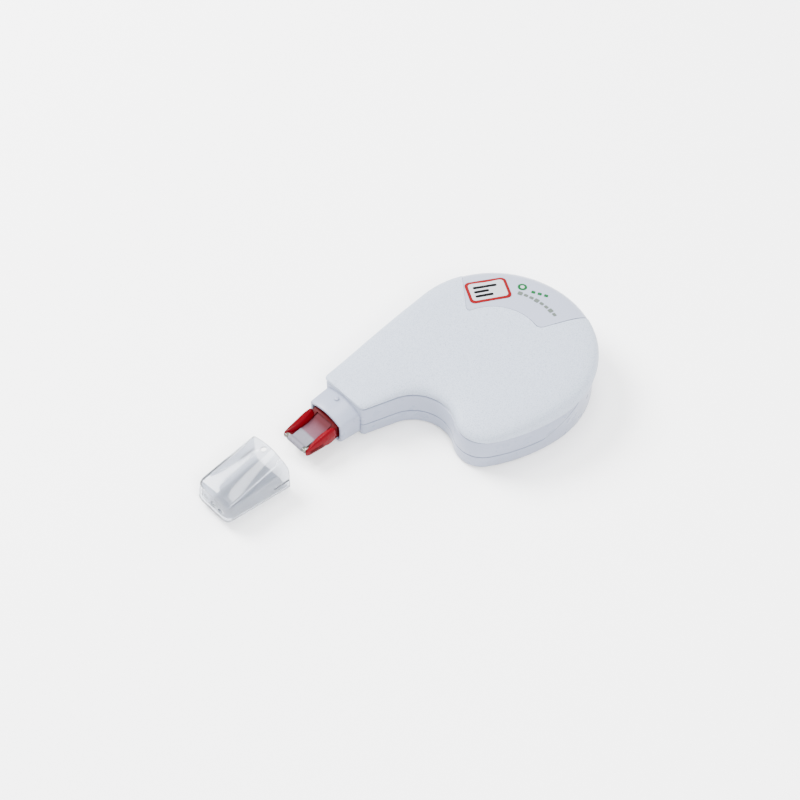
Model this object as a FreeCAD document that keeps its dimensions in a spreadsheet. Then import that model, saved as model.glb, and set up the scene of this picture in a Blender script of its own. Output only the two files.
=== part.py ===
import FreeCAD, Part
import math
import os
import re
import Sketcher

# Correction tape roller.  Millimetres.  Origin under the centre of the round head,
# on the plane the roller rests on.  +X runs from the tip to the round tail, +Z is up.

doc = FreeCAD.newDocument("tape_roller")
vec = FreeCAD.Vector

# ---------------------------------------------------------------- driving dimensions
DIMENSIONS = [
    ("head_radius", 29.3),
    ("head_x", 0.8),
    ("neck_end", -42.3),
    ("neck_axis_y", 19.05),
    ("neck_width", 15.9),
    ("back_radius", 52.0),
    ("back_start_deg", -95.0),
    ("corner_radius", 8.5),
    ("crook_x", -35.7),
    ("crook_y", -3.46),
    ("crook_radius", 11.78),
    ("parting_z", 5.35),
    ("parting_rise_x", -7.0),
    ("parting_top_x", 9.0),
    ("crease_neck_z", 12.0),
    ("crease_tail_z", 12.5),
    ("crown_neck_z", 13.7),
    ("crown_z", 18.3),
    ("crown_tail_z", 17.4),
    ("pad_bulge", 0.75),
    ("pad_lean", 0.2),
    ("pad_crook", -0.2),
    ("pad_wall", 1.05),
    ("pad_edge", 2.8),
    ("roof_edge", 1.5),
    ("wall", 1.6),
    ("dome_wall", 1.3),
    ("bottom_edge", 1.5),
    ("label_inner", 14.3),
    ("label_outer", 34.0),
    ("label_from_deg", -20.0),
    ("label_to_deg", 80.0),
    ("label_side_deg", 51.0),
    ("label_gap", 0.12),
    ("label_recess", 0.12),
    ("badge_thick", 0.5),
    ("badge_rise", 0.06),
    ("supply_x", 8.0),
    ("reels_y", -1.0),
    ("gear_module", 0.6),
    ("supply_teeth", 54.0),
    ("takeup_teeth", 20.0),
    ("gear_z", 2.0),
    ("gear_thick", 1.2),
    ("supply_post", 2.2),
    ("takeup_post", 1.5),
    ("run_clear", 0.08),
    ("hub_radius", 4.6),
    ("core_radius", 7.0),
    ("core_flange", 13.5),
    ("supply_roll", 15.0),
    ("takeup_core", 4.0),
    ("takeup_flange", 7.6),
    ("takeup_roll", 6.4),
    ("tape_low", 4.0),
    ("tape_wide", 6.0),
    ("tape_thick", 0.12),
    ("sleeve_front", -49.3),
    ("sleeve_rear", -38.8),
    ("sleeve_width", 14.1),
    ("sleeve_low", 1.0),
    ("sleeve_side", 9.9),
    ("sleeve_top", 11.4),
    ("mouth_width", 13.0),
    ("mouth_low", 1.4),
    ("mouth_side", 9.4),
    ("mouth_top", 10.75),
    ("bore_width", 11.5),
    ("bore_low", 2.2),
    ("bore_side", 9.2),
    ("bore_top", 10.0),
    ("plug_width", 12.4),
    ("plug_low", 2.2),
    ("plug_top", 10.0),
    ("pivot_x", -45.0),
    ("pivot_z", 6.3),
    ("pivot_radius", 0.9),
    ("carrier_width", 10.9),
    ("carrier_tip_width", 10.1),
    ("arm_gap", 8.8),
    ("arm_rear_gap", 6.8),
    ("blade_rear_width", 6.6),
    ("peg_x", -52.2),
    ("peg_z", 5.95),
    ("peg_radius", 0.45),
    ("blade_width", 8.6),
    ("edge_x", -60.9),
    ("edge_z", 6.1),
    ("edge_radius", 0.78),
    ("nub_x", -44.1),
    ("nub_y", 20.1),
    ("cap_rim", -70.2),
    ("cap_length", 22.4),
    ("cap_end_width", 13.0),
    ("cap_wall", 0.7),
    ("cap_top", 12.5),
    ("cap_side", 10.8),
    ("cap_end_low", 1.2),
    ("cap_end_top", 10.2),
    ("cap_end_side", 8.8),
    ("cap_end_edge", 1.8),
]

sheet = doc.addObject("Spreadsheet::Sheet", "dims")
for row, (alias, value) in enumerate(DIMENSIONS, start=1):
    sheet.set("A%d" % row, alias)
    sheet.set("B%d" % row, "%g" % value)
    sheet.setAlias("B%d" % row, alias)
doc.recompute()


def dim(alias):
    """Current value of one driving dimension."""
    return float(getattr(sheet, alias))


# ---------------------------------------------------------------- small helpers
def linked(text):
    """Put the sheet's name before every alias used in an expression."""
    for alias, _ in DIMENSIONS:
        text = re.sub(r"\b%s\b" % alias, "dims." + alias, text)
    return text


def bind(obj, prop, text):
    """Drive a property from the dimension sheet."""
    obj.setExpression(prop, linked(text))


def new_body(name):
    body = doc.addObject("PartDesign::Body", name)
    body.Label = name
    return body


def plane_of(body, role):
    for feature in body.Origin.OriginFeatures:
        if getattr(feature, "Role", "") == role:
            return feature
    raise ValueError(role)


def new_sketch(body, name, role="XY_Plane", level=None):
    """Sketch on an origin plane, raised along the plane's normal by a sheet expression."""
    sketch = body.newObject("Sketcher::SketchObject", name)
    sketch.AttachmentSupport = [(plane_of(body, role), "")]
    sketch.MapMode = "FlatFace"
    if level is not None:
        bind(sketch, ".AttachmentOffset.Base.z", level)
    return sketch


def add_circle(sketch, cx, cy, radius_text):
    """Circle whose radius is driven by the sheet."""
    radius = abs(sheet_value(radius_text))
    index = sketch.addGeometry(Part.Circle(vec(cx, cy, 0), vec(0, 0, 1), radius), False)
    number = sketch.addConstraint(Sketcher.Constraint("Radius", index, radius))
    bind(sketch, "Constraints[%d]" % number, radius_text)
    return index


def sheet_value(text):
    """Value of an expression made of sheet aliases, numbers and signs."""
    return float(sheet.evalExpression(linked(text)))


def add_loop(sketch, points):
    """Closed polygon from a list of (x, y) points."""
    corners = [vec(px, py, 0) for px, py in points]
    following = corners[1:] + corners[:1]
    sketch.addGeometry([Part.LineSegment(a, b) for a, b in zip(corners, following)], False)


def pad(body, sketch, length, name, middle=False):
    feature = body.newObject("PartDesign::Pad", name)
    feature.Profile = sketch
    bind(feature, "Length", length)
    feature.Midplane = middle
    sketch.Visibility = False
    return feature


def pocket(body, sketch, name, length=None, middle=False, flip=False):
    """Cut; without a length it goes through everything both ways."""
    feature = body.newObject("PartDesign::Pocket", name)
    feature.Profile = sketch
    feature.Midplane = middle
    feature.Reversed = flip
    if length is None:
        feature.Midplane = True
        length = "400"
    bind(feature, "Length", length)
    sketch.Visibility = False
    return feature


def settle(body, before=None):
    """Recompute and make sure the last cut or boss really changed the solid."""
    doc.recompute()
    volume = body.Shape.Volume
    if before is not None and abs(volume - before) < 1e-6:
        raise ValueError("no change in " + body.Label)
    return volume


def boolean(kind, name, base, tools):
    """Part boolean between document objects."""
    if kind == "cut":
        tool = tools[0] if len(tools) == 1 else boolean("fuse", name + "_tools", tools[0], tools[1:])
        feature = doc.addObject("Part::Cut", name)
        feature.Base = base
        feature.Tool = tool
    elif kind == "common":
        feature = doc.addObject("Part::MultiCommon", name)
        feature.Shapes = [base] + list(tools)
    else:
        feature = doc.addObject("Part::MultiFuse", name)
        feature.Shapes = [base] + list(tools)
    feature.Label = name
    feature.Refine = True
    doc.recompute()
    return feature


# ---------------------------------------------------------------- plan outline of the body
def unit(angle):
    return vec(math.cos(angle), math.sin(angle), 0)


def circle_meet(c1, r1, c2, r2, side):
    """Meeting point of two circles, on the chosen side of the line between centres."""
    gap = c2 - c1
    span = gap.Length
    along = (r1 * r1 - r2 * r2 + span * span) / (2 * span)
    across = math.sqrt(r1 * r1 - along * along)
    axis = gap * (1 / span)
    return c1 + axis * along + vec(-axis.y, axis.x, 0) * (across * side)


def outline(shift, crook_shift=None, lean=0.0):
    """Edges of the plan outline moved outwards by shift; the neck end stays put.

    Round head, flatter back, palm corner, hollow crook and two straight neck walls,
    all tangent to each other.  The crook side can have its own shift, and lean moves
    the head towards the tail and the palm.
    """
    if crook_shift is None:
        crook_shift = shift
    head = vec(dim("head_x") + lean, -lean, 0)
    head_r = dim("head_radius")
    start = math.radians(dim("back_start_deg"))
    back_r = dim("back_radius")
    back = head - unit(start) * (back_r - head_r)
    crook = vec(dim("crook_x"), dim("crook_y"), 0)
    crook_r = dim("crook_radius")
    corner_r = dim("corner_radius")
    corner = circle_meet(back, back_r - corner_r, crook, crook_r - crook_shift + corner_r + shift, 1)
    end_x = dim("neck_end")
    far = vec(end_x, dim("neck_axis_y") + dim("neck_width") / 2, 0)
    near = vec(end_x, dim("neck_axis_y") - dim("neck_width") / 2, 0)

    span = far - head
    far_angle = math.atan2(span.y, span.x) - math.acos(head_r / span.Length)
    reach = near - crook
    near_angle = math.atan2(reach.y, reach.x) - math.acos(crook_r / reach.Length)
    toward = crook - corner
    meet_angle = math.atan2(toward.y, toward.x)
    leave = corner - back
    back_angle = math.atan2(leave.y, leave.x)

    far_touch = head + unit(far_angle) * (head_r + shift)
    near_touch = crook + unit(near_angle) * (crook_r - crook_shift)
    far_shifted = far + unit(far_angle) * shift
    near_shifted = near - unit(near_angle) * crook_shift
    far_dir = far_touch - far_shifted
    near_dir = near_touch - near_shifted
    far_end = far_shifted + far_dir * ((end_x - far_shifted.x) / far_dir.x)
    near_end = near_shifted + near_dir * ((end_x - near_shifted.x) / near_dir.x)

    def arc(centre, radius, from_angle, to_angle):
        while to_angle < from_angle:
            to_angle += 2 * math.pi
        return Part.ArcOfCircle(Part.Circle(centre, vec(0, 0, 1), radius), from_angle, to_angle)

    return [
        Part.LineSegment(far_end, near_end),
        Part.LineSegment(near_end, near_touch),
        arc(crook, crook_r - crook_shift, meet_angle - math.pi, near_angle),
        arc(corner, corner_r + shift, meet_angle, back_angle),
        arc(back, back_r + shift, back_angle, start),
        arc(head, head_r + shift, start, far_angle),
        Part.LineSegment(far_touch, far_end),
    ]


def outline_block(name, shift, low, high, crook_shift=None, lean=0.0):
    """Upright block on the plan outline between two heights given as sheet expressions."""
    body = new_body(name)
    sketch = new_sketch(body, name + "_plan", level=low)
    sketch.addGeometry(outline(shift, crook_shift, lean), False)
    pad(body, sketch, "(%s) - (%s)" % (high, low), name + "_pad")
    settle(body)
    return body


# ---------------------------------------------------------------- long side profiles (X, Z)
def crown_curve(drop):
    """Top line of the body seen from the side, lowered by drop."""
    points = [
        (dim("neck_end") - 3.0, dim("crown_neck_z") - 0.35),
        (dim("neck_end"), dim("crown_neck_z")),
        (-34.0, 14.7),
        (-24.0, 16.4),
        (-12.0, 17.8),
        (3.0, dim("crown_z")),
        (17.0, 18.1),
        (dim("head_radius") + 1.0, dim("crown_tail_z")),
        (dim("head_radius") + 4.0, dim("crown_tail_z") - 0.3),
    ]
    curve = Part.BSplineCurve()
    curve.interpolate([vec(px, pz - drop, 0) for px, pz in points])
    return curve


def crease_points():
    """The two ends of the straight crease line, from beyond the neck to beyond the tail."""
    left = dim("neck_end") - 3.0
    right = dim("head_radius") + 4.0
    slope = (dim("crease_tail_z") - dim("crease_neck_z")) / (dim("head_radius") - dim("neck_end"))
    return (left, dim("crease_neck_z") - 3.0 * slope), (right, dim("crease_tail_z") + 4.0 * slope)


def cut_above_crown(body, drop, name):
    sketch = new_sketch(body, name, role="XZ_Plane")
    curve = crown_curve(drop)
    first = curve.StartPoint
    last = curve.EndPoint
    roof = 30.0
    sketch.addGeometry([
        curve,
        Part.LineSegment(last, vec(last.x, roof, 0)),
        Part.LineSegment(vec(last.x, roof, 0), vec(first.x, roof, 0)),
        Part.LineSegment(vec(first.x, roof, 0), first),
    ], False)
    before = settle(body)
    pocket(body, sketch, name + "_cut")
    settle(body, before)


def cut_side(body, points, name):
    """Cut a polygon drawn in the X Z plane right through in Y."""
    sketch = new_sketch(body, name, role="XZ_Plane")
    add_loop(sketch, points)
    before = settle(body)
    pocket(body, sketch, name + "_cut")
    settle(body, before)


def under_crease(lift=0.0):
    left, right = crease_points()
    return [(left[0], left[1] + lift), (right[0], right[1] + lift), (right[0], -5.0), (left[0], -5.0)]


def over_crease():
    left, right = crease_points()
    return [left, right, (right[0], 30.0), (left[0], 30.0)]


def parting_points():
    """Seam between the shells: level along the neck and palm, rising to the crease at the tail."""
    left, right = crease_points()
    slope = (right[1] - left[1]) / (right[0] - left[0])
    top_x = dim("parting_top_x")
    top_z = left[1] + (top_x - left[0]) * slope
    return [(left[0], dim("parting_z")), (dim("parting_rise_x"), dim("parting_z")), (top_x, top_z), right]


# ---------------------------------------------------------------- domes of the upper side
def rim_edges(solid):
    """Edges round the top face, leaving out the straight one at the neck end."""
    end_x = dim("neck_end")
    top = max(solid.Faces, key=lambda face: face.CenterOfMass.z)
    wanted = []
    for number, edge in enumerate(solid.Edges, start=1):
        at_neck = edge.BoundBox.XMax < end_x + 0.01
        if not at_neck and any(edge.isSame(other) for other in top.Edges):
            wanted.append(number)
    return wanted


def dome(name, shift, drop, edge_radius, crook_shift=None, lean=0.0):
    """Solid between the crease and the crown line with a rounded upper rim."""
    body = outline_block(name + "_block", shift, "crease_neck_z - 1", "crown_z + 2", crook_shift, lean)
    cut_above_crown(body, drop, name + "_crown")
    cut_side(body, under_crease(), name + "_crease")
    rounded = doc.addObject("Part::Fillet", name)
    rounded.Base = body
    rounded.Edges = [(number, edge_radius, edge_radius) for number in rim_edges(body.Shape)]
    doc.recompute()
    if rounded.Shape.isNull() or not rounded.Shape.isValid():
        raise ValueError("rim rounding failed on " + name)
    return rounded


# ---------------------------------------------------------------- edge rounding in a body
def edge_names(shape, test):
    return ["Edge%d" % number for number, edge in enumerate(shape.Edges, start=1) if test(edge)]


def fillet(body, names, radius, name):
    base = body.Tip
    feature = body.newObject("PartDesign::Fillet", name)
    feature.Base = (base, names)
    bind(feature, "Radius", radius)
    doc.recompute()
    if not body.Shape.isValid() or "Invalid" in feature.State:
        raise ValueError("fillet failed: " + name)
    return feature


def runs_along_x(edge):
    first = edge.Vertexes[0].Point
    last = edge.Vertexes[-1].Point
    return abs(last.x - first.x) > 0.9 * (last - first).Length and edge.Length > 2.0


# ---------------------------------------------------------------- shells
def sector_block(name, grow):
    """Upright annular sector over which the smooth label plate lies."""
    body = new_body(name)
    sketch = new_sketch(body, name + "_plan", level="crease_neck_z - 2")
    inner = dim("label_inner") - grow
    outer = dim("label_outer")
    spread = grow / inner
    start = math.radians(dim("label_from_deg")) - spread
    stop = math.radians(dim("label_to_deg")) + spread
    axis = vec(0, 0, 1)
    origin = vec(0, 0, 0)
    near = unit(stop) * inner
    along = unit(math.radians(dim("label_side_deg")))
    lean = near.dot(along)
    far = near + along * (math.sqrt(lean * lean + outer * outer - inner * inner) - lean)
    sketch.addGeometry([
        Part.ArcOfCircle(Part.Circle(origin, axis, inner), start, stop),
        Part.LineSegment(near, far),
        Part.ArcOfCircle(Part.Circle(origin, axis, outer), start, math.atan2(far.y, far.x)),
        Part.LineSegment(unit(start) * outer, unit(start) * inner),
    ], False)
    pad(body, sketch, "crown_z", name + "_pad")
    settle(body)
    corners = [unit(start) * inner, unit(stop) * inner]

    def inner_corner(edge):
        point = edge.Vertexes[0].Point
        upright = abs(edge.Vertexes[-1].Point.z - point.z) > 5.0
        return upright and any(abs(point.x - c.x) < 0.01 and abs(point.y - c.y) < 0.01 for c in corners)

    fillet(body, edge_names(body.Shape, inner_corner), "2.2", name + "_corner")
    return body


def post(body, cx, cy, low, high, radius, name):
    """Upright round post on a body."""
    sketch = new_sketch(body, name + "_plan", level=low)
    add_circle(sketch, cx, cy, radius)
    pad(body, sketch, "(%s) - (%s)" % (high, low), name)
    settle(body)


def make_lower_shell(plug_room):
    """Tray with the underside, the lower side wall and the reel posts."""
    body = outline_block("lower_blank", 0.0, "0", "crease_tail_z + 1")
    base = edge_names(body.Shape, lambda edge: edge.BoundBox.ZMax < 0.001)
    fillet(body, base, "bottom_edge", "underside_edge")
    seam = parting_points()
    cut_side(body, seam + [(seam[-1][0], 30.0), (seam[0][0], 30.0)], "lower_seam")
    hollow = new_sketch(body, "lower_hollow_plan", level="wall")
    hollow.addGeometry(outline(-dim("wall")), False)
    before = settle(body)
    pocket(body, hollow, "lower_hollow", length="30", flip=True)
    settle(body, before)
    post(body, dim("supply_x"), dim("reels_y"), "wall - 0.2", "12.6", "supply_post", "supply_post_pad")
    post(body, takeup_x(), dim("reels_y"), "wall - 0.2", "11.6", "takeup_post", "takeup_post_pad")
    for number, (px, py) in enumerate(GUIDES, start=1):
        post(body, px, py, "wall - 0.2", "tape_low + tape_wide + 0.6", "1.2", "guide_post_%d" % number)
    return boolean("cut", "lower_shell", body, [plug_room])


def make_upper_shell(plug_room):
    """Side band and domed roof that carries the grip pad, with sockets for the reel posts."""
    band = outline_block("band_blank", 0.0, "parting_z - 1", "crease_tail_z + 1")
    seam = parting_points()
    cut_side(band, seam + [(seam[-1][0], -5.0), (seam[0][0], -5.0)], "band_seam")
    cut_side(band, over_crease(), "band_crease")
    roof = dome("roof_blank", -0.5, dim("pad_wall"), dim("roof_edge"))
    low_room = outline_block("low_room_blank", -dim("wall"), "wall", "crease_neck_z - 1.4")
    high_room = outline_block("high_room_blank", -1.9, "wall", "crown_z + 2")
    cut_above_crown(high_room, dim("pad_wall") + dim("dome_wall"), "high_room_crown")
    room = boolean("fuse", "room", low_room, [high_room])
    shell = boolean("cut", "upper_hollowed", boolean("fuse", "upper_solid", band, [roof]), [room])
    sockets = new_body("socket_bosses")
    roof_z = "crown_z - pad_wall - dome_wall / 2"
    post(sockets, dim("supply_x"), dim("reels_y"), "11.4", roof_z, "supply_post + 1.4", "supply_socket")
    other = new_body("socket_bosses_2")
    post(other, takeup_x(), dim("reels_y"), "10.9", roof_z + " - 0.3", "takeup_post + 1.2", "takeup_socket")
    bores = new_body("socket_bores")
    post(bores, dim("supply_x"), dim("reels_y"), "11", "13", "supply_post + 0.05", "supply_bore")
    bores_2 = new_body("socket_bores_2")
    post(bores_2, takeup_x(), dim("reels_y"), "10.5", "12", "takeup_post + 0.05", "takeup_bore")
    joined = boolean("fuse", "upper_joined", shell, [sockets, other])
    return boolean("cut", "upper_shell", joined, [bores, bores_2, plug_room])


def make_pad_and_label():
    """Textured grip pad over the roof, the smooth label plate let into it and its marks."""
    bulge = dim("pad_bulge")
    crook = dim("pad_crook")
    outer = dome("pad_outer", bulge, 0.0, dim("pad_edge"), crook, dim("pad_lean"))
    under = dome("pad_under", -0.47, dim("pad_wall") - 0.03, dim("roof_edge"))
    recess = dim("label_recess")
    plate_skin = dome("plate_skin", bulge - recess, recess, dim("pad_edge") - 0.1, crook - recess,
                      dim("pad_lean"))
    under_2 = doc.addObject("Part::Feature", "pad_under_copy")
    under_2.Shape = under.Shape
    grip = boolean("cut", "grip_pad", outer, [under, sector_block("label_opening", dim("label_gap"))])
    cut_plate = boolean("common", "plate_sector", plate_skin, [sector_block("label_sector", 0.0)])
    plate = boolean("cut", "label_plate", cut_plate, [under_2])
    return grip, plate, plate_skin


def make_badge(name, centre, angle_deg, length, width, corner, skin):
    """Thin plain plaque lying on the label plate's surface."""
    body = new_body(name + "_block")
    sketch = new_sketch(body, name + "_plan", level="crown_z + badge_rise - badge_thick")
    turn = math.radians(angle_deg)
    along = unit(turn)
    across = unit(turn + math.pi / 2)
    points = []
    for u, v in ((-1, -1), (1, -1), (1, 1), (-1, 1)):
        point = centre + along * (u * length / 2) + across * (v * width / 2)
        points.append((point.x, point.y))
    add_loop(sketch, points)
    pad(body, sketch, "badge_thick", name + "_pad")
    settle(body)
    upright = edge_names(body.Shape, lambda e: abs(e.BoundBox.ZLength) > 0.5 * dim("badge_thick"))
    fillet(body, upright, "%g" % corner, name + "_corner")
    under = doc.addObject("Part::Feature", name + "_under")
    under.Shape = skin.Shape
    return boolean("cut", name, body, [under])


# ---------------------------------------------------------------- nose sleeve and cap
def dome_section(sketch, width, low, side, top):
    """Flat-sided section with a gently domed top, drawn in Y and Z."""
    mid = dim("neck_axis_y")
    left = mid - width / 2
    right = mid + width / 2
    sketch.addGeometry([
        Part.LineSegment(vec(left, low, 0), vec(right, low, 0)),
        Part.LineSegment(vec(right, low, 0), vec(right, side, 0)),
        Part.Arc(vec(right, side, 0), vec(mid, top, 0), vec(left, side, 0)),
        Part.LineSegment(vec(left, side, 0), vec(left, low, 0)),
    ], False)


def box_section(sketch, width, low, high):
    mid = dim("neck_axis_y")
    half = width / 2
    add_loop(sketch, [(mid - half, low), (mid + half, low), (mid + half, high), (mid - half, high)])


def plug_block(name, grow):
    """Block filling the neck opening, used for the sleeve's plug and for its room."""
    body = new_body(name)
    sketch = new_sketch(body, name + "_section", role="YZ_Plane", level="neck_end - 1")
    box_section(sketch, dim("plug_width") + 2 * grow, dim("plug_low") - grow, dim("plug_top") + grow)
    pad(body, sketch, "sleeve_rear - neck_end + 1 + %g" % grow, name + "_pad")
    settle(body)
    fillet(body, edge_names(body.Shape, runs_along_x), "1.5 + %g" % grow, name + "_corner")
    return body


def loft_section(body, name, level, width, low, side, top):
    sketch = new_sketch(body, name, role="YZ_Plane", level=level)
    dome_section(sketch, width, low, side, top)
    sketch.Visibility = False
    return sketch


def make_sleeve():
    """One-piece mouth of the neck: thin tapered tube with a plug held between the shells."""
    body = new_body("nose_sleeve")
    rear = loft_section(body, "sleeve_rear_section", "neck_end", dim("sleeve_width"), dim("sleeve_low"),
                        dim("sleeve_side"), dim("sleeve_top"))
    front = loft_section(body, "sleeve_mouth_section", "sleeve_front", dim("mouth_width"), dim("mouth_low"),
                         dim("mouth_side"), dim("mouth_top"))
    tube = body.newObject("PartDesign::AdditiveLoft", "sleeve_tube")
    tube.Profile = rear
    tube.Sections = [front]
    settle(body)
    fillet(body, edge_names(body.Shape, runs_along_x), "1.4", "sleeve_corner")
    plug = new_sketch(body, "plug_section", role="YZ_Plane", level="neck_end - 1")
    box_section(plug, dim("plug_width"), dim("plug_low"), dim("plug_top"))
    pad(body, plug, "sleeve_rear - neck_end + 1", "sleeve_plug")
    settle(body)
    inside = new_sketch(body, "sleeve_inside", role="YZ_Plane", level="sleeve_front")
    dome_section(inside, dim("bore_width"), dim("bore_low"), dim("bore_side"), dim("bore_top"))
    before = settle(body)
    pocket(body, inside, "sleeve_bore", length="neck_end - sleeve_front - 0.6", flip=True)
    before = settle(body, before)
    throat = new_sketch(body, "sleeve_throat_section", role="YZ_Plane", level="sleeve_front")
    box_section(throat, dim("plug_width") - 1.6, dim("plug_low") + 0.8, dim("plug_top") - 0.8)
    pocket(body, throat, "sleeve_throat")
    before = settle(body, before)
    sockets = new_sketch(body, "pivot_sockets", role="XZ_Plane", level="-neck_axis_y")
    add_circle(sockets, dim("pivot_x"), dim("pivot_z"), "pivot_radius + run_clear")
    pocket(body, sockets, "pivot_socket_cut", length="bore_width + 1.2", middle=True)
    settle(body, before)
    nub = new_sketch(body, "cap_nub_plan", level="sleeve_top - 0.7")
    add_circle(nub, dim("nub_x"), dim("nub_y"), "0.6")
    pad(body, nub, "0.8", "cap_nub")
    settle(body)
    return body


def make_cap():
    """Frosted cap: tapered, closed outer end with three vents, open rim facing the neck."""
    body = new_body("cap")
    rim = loft_section(body, "cap_rim_section", "cap_rim", dim("neck_width"), 0.0, dim("cap_side"),
                       dim("cap_top"))
    end = loft_section(body, "cap_end_section", "cap_rim - cap_length", dim("cap_end_width"),
                       dim("cap_end_low"), dim("cap_end_side"), dim("cap_end_top"))
    outer = body.newObject("PartDesign::AdditiveLoft", "cap_outer")
    outer.Profile = rim
    outer.Sections = [end]
    settle(body)
    fillet(body, edge_names(body.Shape, runs_along_x), "1.5", "cap_long_edges")
    tail_x = dim("cap_rim") - dim("cap_length")
    fillet(body, edge_names(body.Shape, lambda e: e.BoundBox.XMax < tail_x + 0.01), "1.2", "cap_end_edge_round")
    wall = dim("cap_wall")
    rim_in = loft_section(body, "cap_rim_inside", "cap_rim", dim("neck_width") - 2 * wall, wall,
                          dim("cap_side") - 0.5, dim("cap_top") - wall)
    end_in = loft_section(body, "cap_end_inside", "cap_rim - cap_length + cap_wall + 0.2",
                          dim("cap_end_width") - 2 * wall, dim("cap_end_low") + wall,
                          dim("cap_end_side") - 0.5, dim("cap_end_top") - wall)
    before = settle(body)
    inner = body.newObject("PartDesign::SubtractiveLoft", "cap_inner")
    inner.Profile = rim_in
    inner.Sections = [end_in]
    before = settle(body, before)
    vents = new_sketch(body, "cap_vents", role="YZ_Plane", level="cap_rim - cap_length")
    for step in (-1, 0, 1):
        add_circle(vents, dim("neck_axis_y") + 0.3 + 3.45 * step, 5.0, "0.75")
    pocket(body, vents, "cap_vent_cut", length="4", middle=True)
    before = settle(body, before)
    detent = new_sketch(body, "cap_detent_plan", level="cap_top - 3")
    add_circle(detent, dim("cap_rim") - 1.7, dim("nub_y"), "0.75")
    pocket(body, detent, "cap_detent", length="6", flip=True)
    settle(body, before)
    return body


# ---------------------------------------------------------------- flexing tip
def make_carrier():
    """Red tip holder: two cheeks joined by a block that pivots inside the nose sleeve."""
    body = new_body("tip_carrier")
    side = new_sketch(body, "carrier_side", role="XZ_Plane", level="-neck_axis_y")
    add_loop(side, [
        (-43.3, 3.1), (-43.3, 8.6), (-50.2, 8.6), (-51.0, 9.1), (-52.6, 9.2), (-55.4, 8.6), (-61.0, 7.5),
        (-61.5, 7.0), (-61.4, 5.2), (-60.6, 4.7), (-54.1, 3.6), (-50.0, 3.1),
    ])
    pad(body, side, "carrier_width", "carrier_cheeks", middle=True)
    settle(body)
    mid = dim("neck_axis_y")
    wide = dim("carrier_width") / 2
    narrow = dim("carrier_tip_width") / 2
    gap = dim("arm_gap") / 2
    rear_gap = dim("arm_rear_gap") / 2
    plan = new_sketch(body, "carrier_plan")
    for sign in (-1, 1):
        add_loop(plan, [(-52.5, mid + sign * (wide + 0.01)), (-66.0, mid + sign * (wide + 0.01)),
                        (-66.0, mid + sign * narrow), (-61.5, mid + sign * narrow)])
    add_loop(plan, [(-66.0, mid - gap), (-66.0, mid + gap), (-60.0, mid + gap), (-57.5, mid + rear_gap),
                    (-50.6, mid + rear_gap), (-50.6, mid - rear_gap), (-57.5, mid - rear_gap), (-60.0, mid - gap)])
    before = settle(body)
    pocket(body, plan, "carrier_plan_cut")
    before = settle(body, before)
    throat = new_sketch(body, "carrier_throat_section", role="YZ_Plane")
    box_section(throat, 7.2, 4.5, 8.5)
    pocket(body, throat, "carrier_throat")
    before = settle(body, before)
    pins = new_sketch(body, "carrier_pin_side", role="XZ_Plane", level="-neck_axis_y - carrier_width / 2 + 0.4")
    add_circle(pins, dim("pivot_x"), dim("pivot_z"), "pivot_radius")
    pad(body, pins, "1.1", "carrier_pin_far")
    pins.Label = "carrier_pin_far_side"
    body.Tip.Reversed = False
    settle(body)
    near = new_sketch(body, "carrier_pin_near_side", role="XZ_Plane", level="-neck_axis_y + carrier_width / 2 - 0.4")
    add_circle(near, dim("pivot_x"), dim("pivot_z"), "pivot_radius")
    pad(body, near, "1.1", "carrier_pin_near")
    settle(body)
    body.getObject("carrier_pin_far").Reversed = True
    before = settle(body)
    pegs = new_sketch(body, "blade_peg_holes", role="XZ_Plane", level="-neck_axis_y")
    add_circle(pegs, dim("peg_x"), dim("peg_z"), "peg_radius")
    pocket(body, pegs, "blade_peg_cut", length="arm_rear_gap + 1.0", middle=True)
    settle(body, before)
    return body


def make_blade():
    """Clear transfer blade between the cheeks with a rounded pressing edge."""
    body = new_body("tip_blade")
    side = new_sketch(body, "blade_side", role="XZ_Plane", level="-neck_axis_y")
    edge_x = dim("edge_x")
    add_loop(side, [(edge_x, 5.7), (-56.0, 5.4), (-50.9, 5.4), (-50.9, 6.7), (-53.2, 6.1),
                    (-59.2, 6.0), (edge_x, 6.5)])
    pad(body, side, "blade_width", "blade_plate", middle=True)
    settle(body)
    mid = dim("neck_axis_y")
    half = dim("blade_width") / 2
    rear_half = dim("blade_rear_width") / 2
    notch = new_sketch(body, "blade_notches")
    for sign in (-1, 1):
        add_loop(notch, [(-62.0, mid + sign * rear_half), (-50.0, mid + sign * rear_half),
                         (-50.0, mid + sign * (half + 1)), (-62.0, mid + sign * (half + 1))])
    before = settle(body)
    pocket(body, notch, "blade_notch_cut")
    settle(body, before)
    nose = new_sketch(body, "blade_nose_side", role="XZ_Plane", level="-neck_axis_y")
    add_circle(nose, edge_x, dim("edge_z"), "edge_radius")
    pad(body, nose, "blade_width", "blade_nose", middle=True)
    settle(body)
    pegs = new_sketch(body, "blade_peg_side", role="XZ_Plane", level="-neck_axis_y")
    add_circle(pegs, dim("peg_x"), dim("peg_z"), "peg_radius")
    pad(body, pegs, "arm_rear_gap + 1.0", "blade_pegs", middle=True)
    settle(body)
    return body


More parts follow.
